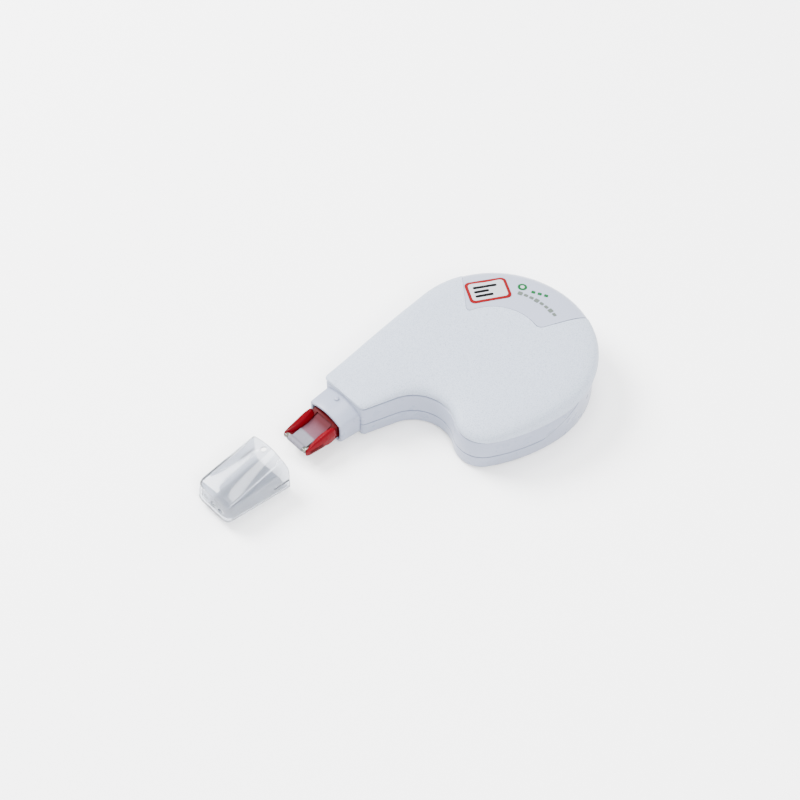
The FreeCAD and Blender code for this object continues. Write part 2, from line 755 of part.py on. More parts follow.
def make_tip_tape():
    """Tape running over the blade, round its edge and back underneath."""
    body = new_body("tip_tape")
    sketch = new_sketch(body, "tip_tape_side", role="XZ_Plane", level="-neck_axis_y")
    edge_x = dim("edge_x")
    edge_z = dim("edge_z")
    thick = dim("tape_thick")
    inner = dim("edge_radius") + 0.02
    outer = inner + thick
    rear = -42.6

    meet = unit(math.radians(62.0))

    def arc(radius):
        return Part.Arc(vec(edge_x + radius * meet.x, edge_z + radius * meet.y, 0),
                        vec(edge_x - radius, edge_z, 0), vec(edge_x, edge_z - radius, 0))

    def chain(points):
        corners = [vec(px, pz, 0) for px, pz in points]
        return [Part.LineSegment(a, b) for a, b in zip(corners[:-1], corners[1:])]

    top = [(rear, 7.7), (-49.6, 7.7), (-53.2, 6.25), (-59.2, 6.1),
           (edge_x + inner * meet.x, edge_z + inner * meet.y)]
    low = [(edge_x, edge_z - inner), (-56.0, 5.1), (rear, 5.1)]
    top_out = [(px, pz + thick + 0.01) for px, pz in top[:-1]]
    top_out += [(edge_x + outer * meet.x, edge_z + outer * meet.y)]
    low_out = [(edge_x, edge_z - outer)] + [(px, pz - thick) for px, pz in low[1:]]
    sketch.addGeometry(chain(top) + [arc(inner)] + chain(low) + chain([low[-1], low_out[-1]])
                       + chain(low_out) + [arc(outer)] + chain(top_out) + chain([top_out[0], top[0]]), False)
    pad(body, sketch, "tape_wide", "tip_tape_pad", middle=True)
    settle(body)
    return body


# ---------------------------------------------------------------- reels, rolls and gears
def takeup_x():
    return dim("supply_x") - dim("gear_module") * (dim("supply_teeth") + dim("takeup_teeth")) / 2


def gear_disc(body, cx, teeth, phase_deg, name):
    """Flat gear: root disc with one tooth repeated round it."""
    module = dim("gear_module")
    centre = vec(cx, dim("reels_y"), 0)
    pitch = module * teeth / 2
    root = pitch - 1.2 * module
    tip = pitch + 0.85 * module
    disc = new_sketch(body, name + "_root_plan", level="gear_z")
    disc.addGeometry(Part.Circle(centre, vec(0, 0, 1), root), False)
    pad(body, disc, "gear_thick", name + "_root")
    settle(body)
    plan = new_sketch(body, name + "_tooth_plan", level="gear_z")
    phase = math.radians(phase_deg)
    across = unit(phase + math.pi / 2)
    corners = []
    for reach, half in ((root - 0.3, 0.62), (pitch, 0.36), (tip, 0.16)):
        corners.append((centre + unit(phase) * reach, across * (half * module / 0.6)))
    left = [(p + w) for p, w in corners]
    right = [(p - w) for p, w in reversed(corners)]
    add_loop(plan, [(p.x, p.y) for p in left + right])
    tooth = pad(body, plan, "gear_thick", name + "_tooth")
    settle(body)
    axis_sketch = new_sketch(body, name + "_axis", level="gear_z")
    axis_sketch.AttachmentOffset = FreeCAD.Placement(centre, FreeCAD.Rotation())
    bind(axis_sketch, ".AttachmentOffset.Base.z", "gear_z")
    ring = body.newObject("PartDesign::PolarPattern", name + "_teeth")
    ring.Originals = [tooth]
    ring.Axis = (axis_sketch, ["N_Axis"])
    ring.Angle = 360
    ring.Occurrences = int(teeth)
    body.Tip = ring
    settle(body)


def bore(body, cx, radius, name):
    sketch = new_sketch(body, name + "_plan")
    add_circle(sketch, cx, dim("reels_y"), radius)
    before = settle(body)
    pocket(body, sketch, name)
    settle(body, before)


def ring_body(name, cx, inner, outer, low, high):
    """Plain upright ring."""
    body = new_body(name)
    sketch = new_sketch(body, name + "_plan", level=low)
    add_circle(sketch, cx, dim("reels_y"), outer)
    add_circle(sketch, cx, dim("reels_y"), inner)
    pad(body, sketch, "(%s) - (%s)" % (high, low), name + "_pad")
    settle(body)
    return body


def make_supply_gear():
    body = new_body("supply_gear")
    cx = dim("supply_x")
    gear_disc(body, cx, dim("supply_teeth"), 0.0, "supply")
    windows = new_sketch(body, "gear_windows")
    for step in range(6):
        spot = vec(cx, dim("reels_y"), 0) + unit(math.radians(60 * step + 30)) * 10.4
        add_circle(windows, spot.x, spot.y, "2.6")
    before = settle(body)
    pocket(body, windows, "gear_window_cut")
    settle(body, before)
    post(body, cx, dim("reels_y"), "gear_z", "11.2", "hub_radius", "gear_hub")
    bore(body, cx, "supply_post + run_clear", "gear_bore")
    return body


def make_supply_core():
    """Spool for the fresh tape; turns on the gear hub through the friction ring."""
    body = ring_body("supply_core", dim("supply_x"), "hub_radius + run_clear", "core_radius", "3.5", "10.4")
    flange = new_sketch(body, "core_flange_plan", level="3.5")
    add_circle(flange, dim("supply_x"), dim("reels_y"), "core_flange")
    add_circle(flange, dim("supply_x"), dim("reels_y"), "core_radius - 0.5")
    pad(body, flange, "0.4", "core_flange_pad")
    settle(body)
    return body


def make_takeup_reel():
    """Small reel for the spent backing, in one piece with its gear."""
    body = new_body("takeup_reel")
    cx = takeup_x()
    gear_disc(body, cx, dim("takeup_teeth"), 9.0, "takeup")
    cy = dim("reels_y")
    post(body, cx, cy, "gear_z", "10.6", "takeup_core", "takeup_barrel")
    post(body, cx, cy, "gear_z + gear_thick + 0.2", "gear_z + gear_thick + 0.6", "takeup_flange", "low_flange")
    post(body, cx, cy, "10.2", "10.6", "takeup_flange", "high_flange")
    bore(body, cx, "takeup_post + run_clear", "takeup_bore_cut")
    return body


# ---------------------------------------------------------------- tape runs in the neck
GUIDES = [(-28.2, 19.1), (-28.5, 14.2)]


def ribbon(name, stations):
    """Thin band through stations of (centre, heading, lean): lean 0 is upright, 90 lies flat."""
    half_wide = dim("tape_wide") / 2
    half_thick = dim("tape_thick") / 2
    wires = []
    for centre, heading, lean in stations:
        turn = math.radians(lean)
        side = vec(-heading.y, heading.x, 0)
        side.normalize()
        wide = vec(0, 0, 1) * math.cos(turn) + side * math.sin(turn)
        thin = side * math.cos(turn) - vec(0, 0, 1) * math.sin(turn)
        corners = [centre + wide * (a * half_wide) + thin * (b * half_thick)
                   for a, b in ((-1, -1), (1, -1), (1, 1), (-1, 1))]
        wires.append(Part.makePolygon(corners + corners[:1]))
    feature = doc.addObject("Part::Feature", name)
    feature.Label = name
    feature.Shape = Part.makeLoft(wires, True, True)
    return feature


def leave_circle(centre, radius, goal, side):
    """Point where a straight run from goal touches a circle."""
    reach = goal - centre
    angle = math.atan2(reach.y, reach.x) + side * math.acos(radius / reach.Length)
    return centre + unit(angle) * radius


def make_run(name, reel_x, roll_radius, bend_y, end_z, side):
    """Tape from a roll to the neck, turning from upright to flat on the way to the tip."""
    mid_z = dim("tape_low") + dim("tape_wide") / 2
    reel = vec(reel_x, dim("reels_y"), 0)
    bend = vec(-28.2, bend_y, 0)
    start = leave_circle(reel, roll_radius + 0.35, bend, side)
    end = vec(-41.4, dim("neck_axis_y"), 0)
    first = bend - start
    second = end - bend
    stations = [(start + vec(0, 0, mid_z), first, 0.0)]
    steps = 8
    for step in range(steps + 1):
        share = step / steps
        spot = bend + second * share
        height = mid_z + (end_z - mid_z) * share
        stations.append((vec(spot.x, spot.y, height), second, 90.0 * share))
    return ribbon(name, stations)


# ---------------------------------------------------------------- build everything
plug_room = plug_block("plug_room", 0.04)
plug_room_2 = plug_block("plug_room_2", 0.04)
finished = {
    "lower_shell": make_lower_shell(plug_room),
    "upper_shell": make_upper_shell(plug_room_2),
}
finished["grip_pad"], finished["label_plate"], skin = make_pad_and_label()
finished["label_badge"] = make_badge("label_badge", vec(13.3, 16.1, 0), -29.0, 12.9, 8.8, 1.0, skin)
finished["nose_sleeve"] = make_sleeve()
finished["cap"] = make_cap()
finished["tip_carrier"] = make_carrier()
finished["tip_blade"] = make_blade()
finished["tip_tape"] = make_tip_tape()
finished["supply_gear"] = make_supply_gear()
finished["supply_core"] = make_supply_core()
finished["supply_roll"] = ring_body("supply_roll", dim("supply_x"), "core_radius", "supply_roll",
                                    "tape_low", "tape_low + tape_wide")
finished["clutch_ring"] = ring_body("clutch_ring", dim("supply_x"), "hub_radius", "core_radius - 0.2",
                                    "10.5", "10.9")
finished["takeup_reel"] = make_takeup_reel()
finished["takeup_roll"] = ring_body("takeup_roll", takeup_x(), "takeup_core", "takeup_roll",
                                    "tape_low", "tape_low + tape_wide")
finished["tape_feed"] = make_run("tape_feed", dim("supply_x"), dim("supply_roll"), 20.5, 7.76, -1)
finished["tape_return"] = make_run("tape_return", takeup_x(), dim("takeup_roll"), 16.0, 5.04, -1)

doc.recompute()
for obj in doc.Objects:
    if "Invalid" in obj.State or "Error" in obj.State:
        raise ValueError("failed object: " + obj.Name)
os.makedirs("parts", exist_ok=True)
for label, obj in finished.items():
    shape = obj.Shape
    if shape.isNull() or not shape.isValid():
        raise ValueError("bad shape: " + label)
    shape.exportStep("parts/%s.step" % label)
    box = shape.BoundBox
    print("%-14s solids %d volume %9.2f  x %.2f %.2f  y %.2f %.2f  z %.2f %.2f" % (
        label, len(shape.Solids), shape.Volume, box.XMin, box.XMax, box.YMin, box.YMax, box.ZMin, box.ZMax))
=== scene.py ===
import math

import bmesh
import bpy
import numpy as np
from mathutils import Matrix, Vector
from mathutils.geometry import delaunay_2d_cdt


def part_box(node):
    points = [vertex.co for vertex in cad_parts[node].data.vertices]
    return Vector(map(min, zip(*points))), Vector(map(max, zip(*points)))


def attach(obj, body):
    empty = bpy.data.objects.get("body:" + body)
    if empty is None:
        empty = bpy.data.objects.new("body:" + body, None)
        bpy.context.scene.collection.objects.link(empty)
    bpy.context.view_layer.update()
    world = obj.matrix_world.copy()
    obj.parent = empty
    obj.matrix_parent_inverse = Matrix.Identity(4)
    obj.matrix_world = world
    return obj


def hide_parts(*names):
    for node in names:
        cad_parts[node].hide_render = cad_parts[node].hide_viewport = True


# Correction tape roller.  Shapes are worked out in millimetres in the row frame
# (+X from tip to tail, +Z up, origin under the head) and scaled to metres once.

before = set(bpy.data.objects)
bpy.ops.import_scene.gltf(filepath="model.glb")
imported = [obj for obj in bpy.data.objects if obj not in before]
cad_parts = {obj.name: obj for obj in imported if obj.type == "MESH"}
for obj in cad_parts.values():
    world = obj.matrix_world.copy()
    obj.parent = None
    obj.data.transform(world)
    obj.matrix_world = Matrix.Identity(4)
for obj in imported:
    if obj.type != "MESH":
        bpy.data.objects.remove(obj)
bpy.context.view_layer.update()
MM = 0.001


def box_mm(node):
    """Corners of a CAD node in millimetres."""
    low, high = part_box(node)
    return [c / MM for c in low], [c / MM for c in high]


SHELL_LOW, SHELL_HIGH = box_mm("lower_shell")
SLEEVE_LOW, SLEEVE_HIGH = box_mm("nose_sleeve")
CAP_LOW, CAP_HIGH = box_mm("cap")
BLADE_LOW, BLADE_HIGH = box_mm("tip_blade")
TAPE_LOW, TAPE_HIGH = box_mm("tip_tape")

# plan outline: round head, broad back, tail corner and finger crook
HEAD_X = 0.8
HEAD_R = SHELL_HIGH[0] - HEAD_X
NECK_END = SHELL_LOW[0]
AXIS_Y = (SLEEVE_LOW[1] + SLEEVE_HIGH[1]) / 2
NECK_W = CAP_HIGH[1] - CAP_LOW[1]
BACK_R = 52.0
BACK_START = math.radians(-95.0)
CORNER_R = 8.5
CROOK = (-35.7, -3.46)
CROOK_R = 11.78

# heights of the seam, the crease under the pad and the crown of the pad
SEAM_Z = 5.35
SEAM_RISE_X = -7.0
SEAM_TOP_X = 9.0
CREASE_NECK = 12.0
CREASE_TAIL = 12.5
CROWN = [(-45.3, 13.35), (NECK_END, 13.7), (-34.0, 14.7), (-24.0, 16.4), (-12.0, 17.8),
         (3.0, 18.3), (17.0, 18.1), (30.3, 17.4), (33.3, 17.1)]

# edges of the pad and the tray, and the label let into the pad
PAD_CROOK = -0.95
PAD_LEAN = 0.2
PAD_END_ROUND = 1.7
SHELL_EDGE = 1.5
LABEL_DROP = 0.12
LABEL_GAP = 0.2
LABEL_INNER = 14.3
LABEL_OUTER = 37.0
LABEL_FROM = math.radians(-20.0)
LABEL_TO = math.radians(80.0)
LABEL_SIDE = math.radians(51.0)
BADGE_AT = (13.3, 16.1)
BADGE_TILT = -29.0

# neck sleeve with its nub, and the cap that clicks over it
NUB_AT = (-44.1, 20.1)
NUB_BASE = 11.42
SLEEVE_WALL = 1.0
CAP_WALL = 0.55
VENT_STEP = 3.45
VENT_Z = 5.0
CLICK_HOLE_R = 0.92

# tip: centre (x, z) and radius of the pressing edge, and the tape round it
PRESS_EDGE = (-60.9, 6.1)
PRESS_R = 0.78
TAPE_THICK = 0.12
PROFILE_BEVEL = 0.08
TRIANGLE_ROW = 0.866


# ---------------------------------------------------------------- mesh helpers
def link_mesh(name, verts, faces, smooth_deg=35.0, merge=0.002):
    """Mesh object from millimetre vertices, welded and shaded smooth up to an angle."""
    bm = bmesh.new()
    made = [bm.verts.new([c * MM for c in v]) for v in verts]
    for face in faces:
        corners = [made[i] for i in face]
        if len(set(corners)) > 2:
            try:
                bm.faces.new(corners)
            except ValueError:
                continue
    bmesh.ops.remove_doubles(bm, verts=bm.verts, dist=merge * MM)
    bmesh.ops.dissolve_degenerate(bm, edges=bm.edges, dist=merge * MM)
    loose = [v for v in bm.verts if not v.link_faces]
    bmesh.ops.delete(bm, geom=loose, context="VERTS")
    bmesh.ops.recalc_face_normals(bm, faces=bm.faces)
    mesh = bpy.data.meshes.new(name)
    bm.to_mesh(mesh)
    bm.free()
    obj = bpy.data.objects.new(name, mesh)
    bpy.context.scene.collection.objects.link(obj)
    shade(obj, smooth_deg)
    return obj


def shade(obj, smooth_deg):
    """Smooth shading with sharp edges above an angle."""
    mesh = obj.data
    mesh.shade_smooth()
    mesh.set_sharp_from_angle(angle=math.radians(smooth_deg))


def strip(rings, closed=True):
    """Quads between consecutive rings of equal length."""
    verts = [point for ring in rings for point in ring]
    count = len(rings[0])
    faces = []
    last = count if closed else count - 1
    for level in range(len(rings) - 1):
        for i in range(last):
            j = (i + 1) % count
            faces.append((level * count + i, level * count + j,
                          (level + 1) * count + j, (level + 1) * count + i))
    return verts, faces


def capped(rings):
    """Quads between closed rings, with the first and the last ring filled."""
    verts, faces = strip(rings)
    count = len(rings[0])
    faces.append(tuple(range(count)))
    faces.append(tuple(range(len(verts) - count, len(verts))))
    return verts, faces


def join_parts(*parts):
    """One vertex and face list out of several."""
    verts = []
    faces = []
    for part_verts, part_faces in parts:
        start = len(verts)
        verts.extend(part_verts)
        faces.extend([tuple(i + start for i in face) for face in part_faces])
    return verts, faces


def edge_distance(points, loop):
    """Distance from each (x, y) point to a closed polygon."""
    p = np.asarray(points, float)
    a = np.asarray(loop, float)
    b = np.roll(a, -1, axis=0)
    ab = b - a
    length2 = np.maximum((ab ** 2).sum(1), 1e-12)
    best = np.full(len(p), 1e9)
    for start, delta, l2 in zip(a, ab, length2):
        share = np.clip(((p - start) @ delta) / l2, 0, 1)
        near = start + share[:, None] * delta
        best = np.minimum(best, np.hypot(*(p - near).T))
    return best


def inside_loop(points, loop):
    """Even-odd test of (x, y) points against a closed polygon."""
    p = np.asarray(points, float)
    a = np.asarray(loop, float)
    b = np.roll(a, -1, axis=0)
    hit = np.zeros(len(p), bool)
    for (ax, ay), (bx, by) in zip(a, b):
        if ay == by:
            continue
        crosses = ((ay > p[:, 1]) != (by > p[:, 1]))
        at = (bx - ax) * (p[:, 1] - ay) / (by - ay) + ax
        hit ^= crosses & (p[:, 0] < at)
    return hit


def fill_loop(loop, spacing, height):
    """Even triangles inside a plan loop, lifted by height(points)."""
    flat = [(x, y) for x, y in loop]
    low = np.min(flat, axis=0)
    high = np.max(flat, axis=0)
    grid = []
    rows = int((high[1] - low[1]) / (spacing * TRIANGLE_ROW)) + 1
    cols = int((high[0] - low[0]) / spacing) + 2
    for row in range(rows):
        for col in range(cols):
            grid.append((low[0] + (col + 0.5 * (row % 2)) * spacing, low[1] + row * spacing * TRIANGLE_ROW))
    grid = np.array(grid)
    grid = grid[inside_loop(grid, flat)]
    grid = grid[edge_distance(grid, flat) > spacing * 0.55]
    seeds = [Vector(p) for p in flat] + [Vector(p) for p in grid]
    result = delaunay_2d_cdt(seeds, [], [list(range(len(flat)))], 1, 1e-6)
    plan = [(v.x, v.y) for v in result[0]]
    levels = height(np.array(plan))
    return [(x, y, z) for (x, y), z in zip(plan, levels)], [tuple(f) for f in result[2]]


def apply_modifiers(obj):
    """Put the evaluated mesh in place of the modifiers."""
    graph = bpy.context.evaluated_depsgraph_get()
    done = bpy.data.meshes.new_from_object(obj.evaluated_get(graph))
    old = obj.data
    obj.modifiers.clear()
    obj.data = done
    bpy.data.meshes.remove(old)


def apply_booleans(obj, cutters, operation):
    """Cut or keep by closed cutter meshes, then drop the cutters."""
    for cutter in cutters:
        step = obj.modifiers.new(cutter.name, "BOOLEAN")
        step.object = cutter
        step.operation = operation
        step.solver = "EXACT"
    apply_modifiers(obj)
    for cutter in cutters:
        bpy.data.objects.remove(cutter)


def settle(obj, body, slot_name, material, *nodes):
    """Give a finished piece its body and material, and hide the nodes it stands for."""
    obj.data.materials.clear()
    obj.data.materials.append(material)
    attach(obj, body)
    if nodes:
        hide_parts(*nodes)
    return obj


# ---------------------------------------------------------------- plan outline of the body
def polar(centre, radius, angle):
    return (centre[0] + radius * math.cos(angle), centre[1] + radius * math.sin(angle))


def circle(centre, radius, count):
    return [polar(centre, radius, math.tau * i / count) for i in range(count)]


def arc_points(centre, radius, start, stop, count):
    """Points along an arc without its last one."""
    return [polar(centre, radius, start + (stop - start) * i / count) for i in range(count)]


def line_points(start, stop, count):
    return [(start[0] + (stop[0] - start[0]) * i / count, start[1] + (stop[1] - start[1]) * i / count)
            for i in range(count)]


def soft_corner(before, corner, after, reach, count):
    """Points rounding a corner with a quadratic curve, reach along both sides."""
    def toward(goal):
        dx = goal[0] - corner[0]
        dy = goal[1] - corner[1]
        size = math.hypot(dx, dy)
        return (corner[0] + dx / size * reach, corner[1] + dy / size * reach)
    first = toward(before)
    last = toward(after)
    points = []
    for i in range(count):
        t = i / count
        points.append(tuple((1 - t) ** 2 * first[k] + 2 * t * (1 - t) * corner[k] + t * t * last[k]
                            for k in (0, 1)))
    return first, points, last


def outline(shift=0.0, end_in=0.0, crook=0.0, lean=0.0, round_end=0.9):
    """Plan loop moved outwards by shift, its neck end moved in by end_in.

    crook is an extra shift for the hollow side and lean moves the head towards the tail
    and the palm.  Every loop has the same number of points in the same order, so that
    loops can be joined into walls.
    """
    inner = shift + crook
    head = (HEAD_X + lean, -lean)
    gap = BACK_R - HEAD_R
    back = (head[0] - gap * math.cos(BACK_START), head[1] - gap * math.sin(BACK_START))
    span = math.dist(back, CROOK)
    r_back = BACK_R - CORNER_R
    r_crook = CROOK_R - inner + CORNER_R + shift
    along = (r_back ** 2 - r_crook ** 2 + span ** 2) / (2 * span)
    across = math.sqrt(r_back ** 2 - along ** 2)
    ux, uy = (CROOK[0] - back[0]) / span, (CROOK[1] - back[1]) / span
    corner = (back[0] + ux * along - uy * across, back[1] + uy * along + ux * across)
    far = (NECK_END, AXIS_Y + NECK_W / 2)
    near = (NECK_END, AXIS_Y - NECK_W / 2)
    away = (far[0] - head[0], far[1] - head[1])
    far_angle = math.atan2(away[1], away[0]) - math.acos(HEAD_R / math.hypot(*away))
    aside = (near[0] - CROOK[0], near[1] - CROOK[1])
    near_angle = math.atan2(aside[1], aside[0]) - math.acos(CROOK_R / math.hypot(*aside))
    meet = math.atan2(CROOK[1] - corner[1], CROOK[0] - corner[0])
    back_angle = math.atan2(corner[1] - back[1], corner[0] - back[0]) + 2 * math.pi
    end_x = NECK_END + end_in

    def on_line(a, b):
        share = (end_x - a[0]) / (b[0] - a[0])
        return (end_x, a[1] + (b[1] - a[1]) * share)

    far_touch = polar(head, HEAD_R + shift, far_angle)
    far_start = (far[0] + shift * math.cos(far_angle), far[1] + shift * math.sin(far_angle))
    near_touch = polar(CROOK, CROOK_R - inner, near_angle)
    near_start = (near[0] - inner * math.cos(near_angle), near[1] - inner * math.sin(near_angle))
    far_end = on_line(far_start, far_touch)
    near_end = on_line(near_start, near_touch)
    near_a, near_corner, near_b = soft_corner(far_end, near_end, near_touch, round_end, 6)
    far_a, far_corner, far_b = soft_corner(far_touch, far_end, near_end, round_end, 6)

    loop = []
    loop += near_corner
    loop += line_points(near_b, near_touch, 16)
    loop += arc_points(CROOK, CROOK_R - inner, near_angle, meet - math.pi, 34)
    loop += arc_points(corner, CORNER_R + shift, meet, back_angle, 26)
    loop += arc_points(back, BACK_R + shift, back_angle, BACK_START + 2 * math.pi, 24)
    loop += arc_points(head, HEAD_R + shift, BACK_START, far_angle, 120)
    loop += line_points(far_touch, far_a, 40)
    loop += far_corner
    loop += line_points(far_b, near_a, 14)
    return loop


def smooth_table(points, x):
    """Monotone cubic through a few (x, z) points."""
    px = np.array([p[0] for p in points])
    pz = np.array([p[1] for p in points])
    x = np.clip(np.asarray(x, float), px[0], px[-1])
    slope = np.diff(pz) / np.diff(px)
    tangent = np.concatenate([[slope[0]], (slope[:-1] + slope[1:]) / 2, [slope[-1]]])
    cell = np.clip(np.searchsorted(px, x) - 1, 0, len(px) - 2)
    width = px[cell + 1] - px[cell]
    t = (x - px[cell]) / width
    return ((2 * t ** 3 - 3 * t ** 2 + 1) * pz[cell] + (t ** 3 - 2 * t ** 2 + t) * width * tangent[cell]
            + (3 * t ** 2 - 2 * t ** 3) * pz[cell + 1] + (t ** 3 - t ** 2) * width * tangent[cell + 1])


def crease_z(x):
    """Height of the crease between side band and grip pad."""
    share = (np.asarray(x, float) - NECK_END) / (HEAD_R - NECK_END)
    return CREASE_NECK + (CREASE_TAIL - CREASE_NECK) * share


def seam_z(x):
    """Height of the seam between the shells, rising to the crease at the tail."""
    x = np.asarray(x, float)
    rise = np.clip((x - SEAM_RISE_X) / (SEAM_TOP_X - SEAM_RISE_X), 0, 1)
    return SEAM_Z + (crease_z(x) - SEAM_Z) * rise


def lift(loop, height):
    """3-D ring from a plan loop and a height function or number."""
    xs = np.array([p[0] for p in loop])
    zs = height(xs) if callable(height) else np.full(len(xs), float(height))
    return [(p[0], p[1], z) for p, z in zip(loop, zs)]


# ---------------------------------------------------------------- rolled surface of the grip pad
ROLL = [(-0.8, 0.0, 0.0), (-0.25, 0.012, 0.2), (0.15, 0.045, 0.5), (0.48, 0.11, 0.8), (0.69, 0.19, 1.0),
        (0.75, 0.29, 1.0), (0.69, 0.40, 1.0), (0.47, 0.52, 1.0), (0.08, 0.63, 1.0), (-0.48, 0.72, 1.0),
        (-1.3, 0.795, 1.0), (-2.3, 0.852, 1.0), (-3.5, 0.897, 1.0)]


def crown_height(x):
    return smooth_table(CROWN, x) - crease_z(x)


def pad_loop(offset, lead=1.0):
    """Plan loop of the pad; lead fades in its own outline above the wall line."""
    end_in = max(0.0, -offset) * 0.45
    return outline(offset, end_in, PAD_CROOK * lead, PAD_LEAN * lead, PAD_END_ROUND)


def roll_ring(offset, share, lead, drop=0.0):
    """One ring of the pad's rim, pulled in a little at the low neck end."""
    return [(x, y, float(crease_z(x) + crown_height(x) * share) - drop) for x, y in pad_loop(offset, lead)]


def top_share(depth):
    """Share of the crown height at a plan distance inside the wall line."""
    return np.interp(depth, [0.0, 0.48, 1.3, 2.3, 3.5, 5.0, 7.0, 9.5, 13.0, 18.0],
                     [0.645, 0.72, 0.795, 0.852, 0.897, 0.934, 0.963, 0.982, 0.994, 1.0])


def pad_height(points, drop=0.0):
    """Height of the pad's upper surface over plan points."""
    points = np.asarray(points, float)
    edge = pad_loop(0.0)
    depth = np.where(inside_loop(points, edge), edge_distance(points, edge), 0.0)
    return crease_z(points[:, 0]) + crown_height(points[:, 0]) * top_share(depth) - drop


def pad_solid(name, drop):
    """Closed pad body: rolled rim, gently crowned top and a hidden underside."""
    rings = [roll_ring(offset - drop if i > 1 else offset, share, lead, drop if i > 1 else 0.0)
             for i, (offset, share, lead) in enumerate(ROLL)]
    last = [(p[0], p[1]) for p in rings[-1]]
    top = fill_loop(last, 0.9, lambda pts: pad_height(pts, drop))
    first = [(p[0], p[1]) for p in rings[0]]
    under = fill_loop(first, 4.0, lambda pts: crease_z(pts[:, 0]))
    snapped = {(round(p[0], 4), round(p[1], 4)): p[2] for p in rings[-1]}
    top_verts = [(x, y, snapped.get((round(x, 4), round(y, 4)), z)) for x, y, z in top[0]]
    verts, faces = join_parts(strip(rings), (top_verts, top[1]), under)
    return link_mesh(name, verts, faces, 50.0)


def sector_prism(name, grow):
    """Closed upright block over the label, with rounded inner corners and a slanted side."""
    inner = LABEL_INNER - grow
    start = LABEL_FROM - grow / inner
    stop = LABEL_TO + grow / inner
    a = polar((0, 0), inner, start)
    b = polar((0, 0), inner, stop)
    arc = [polar((0, 0), inner, start + (stop - start) * i / 60) for i in range(61)]
    outer_a = polar((0, 0), LABEL_OUTER - 1.0, start)
    outer_b = polar(b, 24.0, LABEL_SIDE)
    skip = 6
    reach = 2.4
    first_corner = soft_corner(outer_a, a, arc[skip], reach, 8)[1]
    _, second_corner, leave = soft_corner(arc[-skip - 1], b, outer_b, reach, 8)
    loop = first_corner + arc[skip:-skip] + second_corner + [leave, outer_b]
    loop += [polar((0, 0), LABEL_OUTER, math.radians(58.0 - 78.0 * i / 20)) for i in range(1, 20)]
    loop += [outer_a]
    count = len(loop)
    low, high = 5.0, 25.0
    verts = [(x, y, low) for x, y in loop] + [(x, y, high) for x, y in loop]
    faces = [tuple(range(count)), tuple(range(count, 2 * count))]
    faces += [(i, (i + 1) % count, (i + 1) % count + count, i + count) for i in range(count)]
    return link_mesh(name, verts, faces)


# ---------------------------------------------------------------- body pieces
def build_lower_shell(material):
    """Tray with a rounded bottom edge, a recessed line under it and a lip below the seam."""
    edge = SHELL_EDGE
    rings = [lift(outline(-edge - 5.4, 6.0), 0.0),
             lift(outline(-edge - 4.9, 5.5), 0.22),
             lift(outline(-edge - 4.5, 5.1), 0.22),
             lift(outline(-edge - 4.2, 4.8), 0.0)]
    for i in range(7):
        turn = math.pi / 2 * i / 6
        inward = edge * (1 - math.sin(turn))
        rings.append(lift(outline(-inward, inward), edge * (1 - math.cos(turn))))
    rings += [lift(outline(0.0), lambda x: seam_z(x) * 0.5 + edge * 0.5),
              lift(outline(0.0), lambda x: seam_z(x) - 0.85),
              lift(outline(0.07), lambda x: seam_z(x) - 0.78),
              lift(outline(0.07), lambda x: seam_z(x) - 0.22),
              lift(outline(0.0, 0.02), lambda x: seam_z(x) - 0.14),
              lift(outline(-0.22, 0.2), lambda x: seam_z(x) - 0.07),
              lift(outline(-1.6, 1.6), lambda x: seam_z(x) - 0.07),
              lift(outline(-1.6, 1.6), 1.6)]
    floor_out = [(p[0], p[1]) for p in rings[0]]
    floor_in = [(p[0], p[1]) for p in rings[-1]]
    parts = [strip(rings),
             fill_loop(floor_out, 5.0, lambda pts: np.zeros(len(pts))),
             fill_loop(floor_in, 5.0, lambda pts: np.full(len(pts), 1.6))]
    verts, faces = join_parts(*parts)
    obj = link_mesh("lower_shell_body", verts, faces, 30.0)
    return settle(obj, "housing", "shell_plastic", material, "lower_shell")


def build_band(material):
    """Smooth side band of the upper shell between the seam and the crease."""
    def band_ring(offset, upper, inset, end_in=0.0):
        loop = outline(offset, end_in)
        ring = []
        for x, y in loop:
            low = float(seam_z(x))
            high = float(crease_z(x))
            margin = min(inset, 0.5 * (high - low))
            ring.append((x, y, high - margin if upper else low + margin))
        return ring

    rings = [band_ring(-1.6, False, 0.05, 1.6),
             band_ring(-0.2, False, 0.05, 0.2),
             band_ring(0.0, False, 0.2),
             band_ring(0.0, True, 0.65),
             band_ring(-0.18, True, 0.3, 0.15),
             band_ring(-0.6, True, 0.06, 0.4),
             band_ring(-1.6, True, 0.04, 1.6)]
    rings.append(rings[0])
    verts, faces = strip(rings)
    obj = link_mesh("side_band", verts, faces, 30.0, merge=0.02)
    return settle(obj, "housing", "shell_plastic", material, "upper_shell")


def build_pad(material):
    pad = pad_solid("grip_pad_skin", 0.0)
    apply_booleans(pad, [sector_prism("label_room", LABEL_GAP)], "DIFFERENCE")
    shade(pad, 50.0)
    return settle(pad, "housing", "textured_pad", material, "grip_pad")


def build_label(material):
    plate = pad_solid("label_plate_skin", LABEL_DROP)
    apply_booleans(plate, [sector_prism("label_keep", 0.0)], "INTERSECT")
    shade(plate, 50.0)
    return settle(plate, "housing", "label_plastic", material, "label_plate")


def patch(name, loop, thick, spacing):
    """Thin closed patch lying on the label plate."""
    base = LABEL_DROP - 0.01
    top = fill_loop(loop, spacing, lambda pts: pad_height(pts, base - thick))
    low = fill_loop(loop, spacing, lambda pts: pad_height(pts, base + 0.05))
    ring_top = [(x, y, z) for (x, y), z in zip(loop, pad_height(np.array(loop), base - thick))]
    ring_low = [(x, y, z) for (x, y), z in zip(loop, pad_height(np.array(loop), base + 0.05))]
    verts, faces = join_parts(top, low, strip([ring_low, ring_top]))
    return link_mesh(name, verts, faces, 40.0)


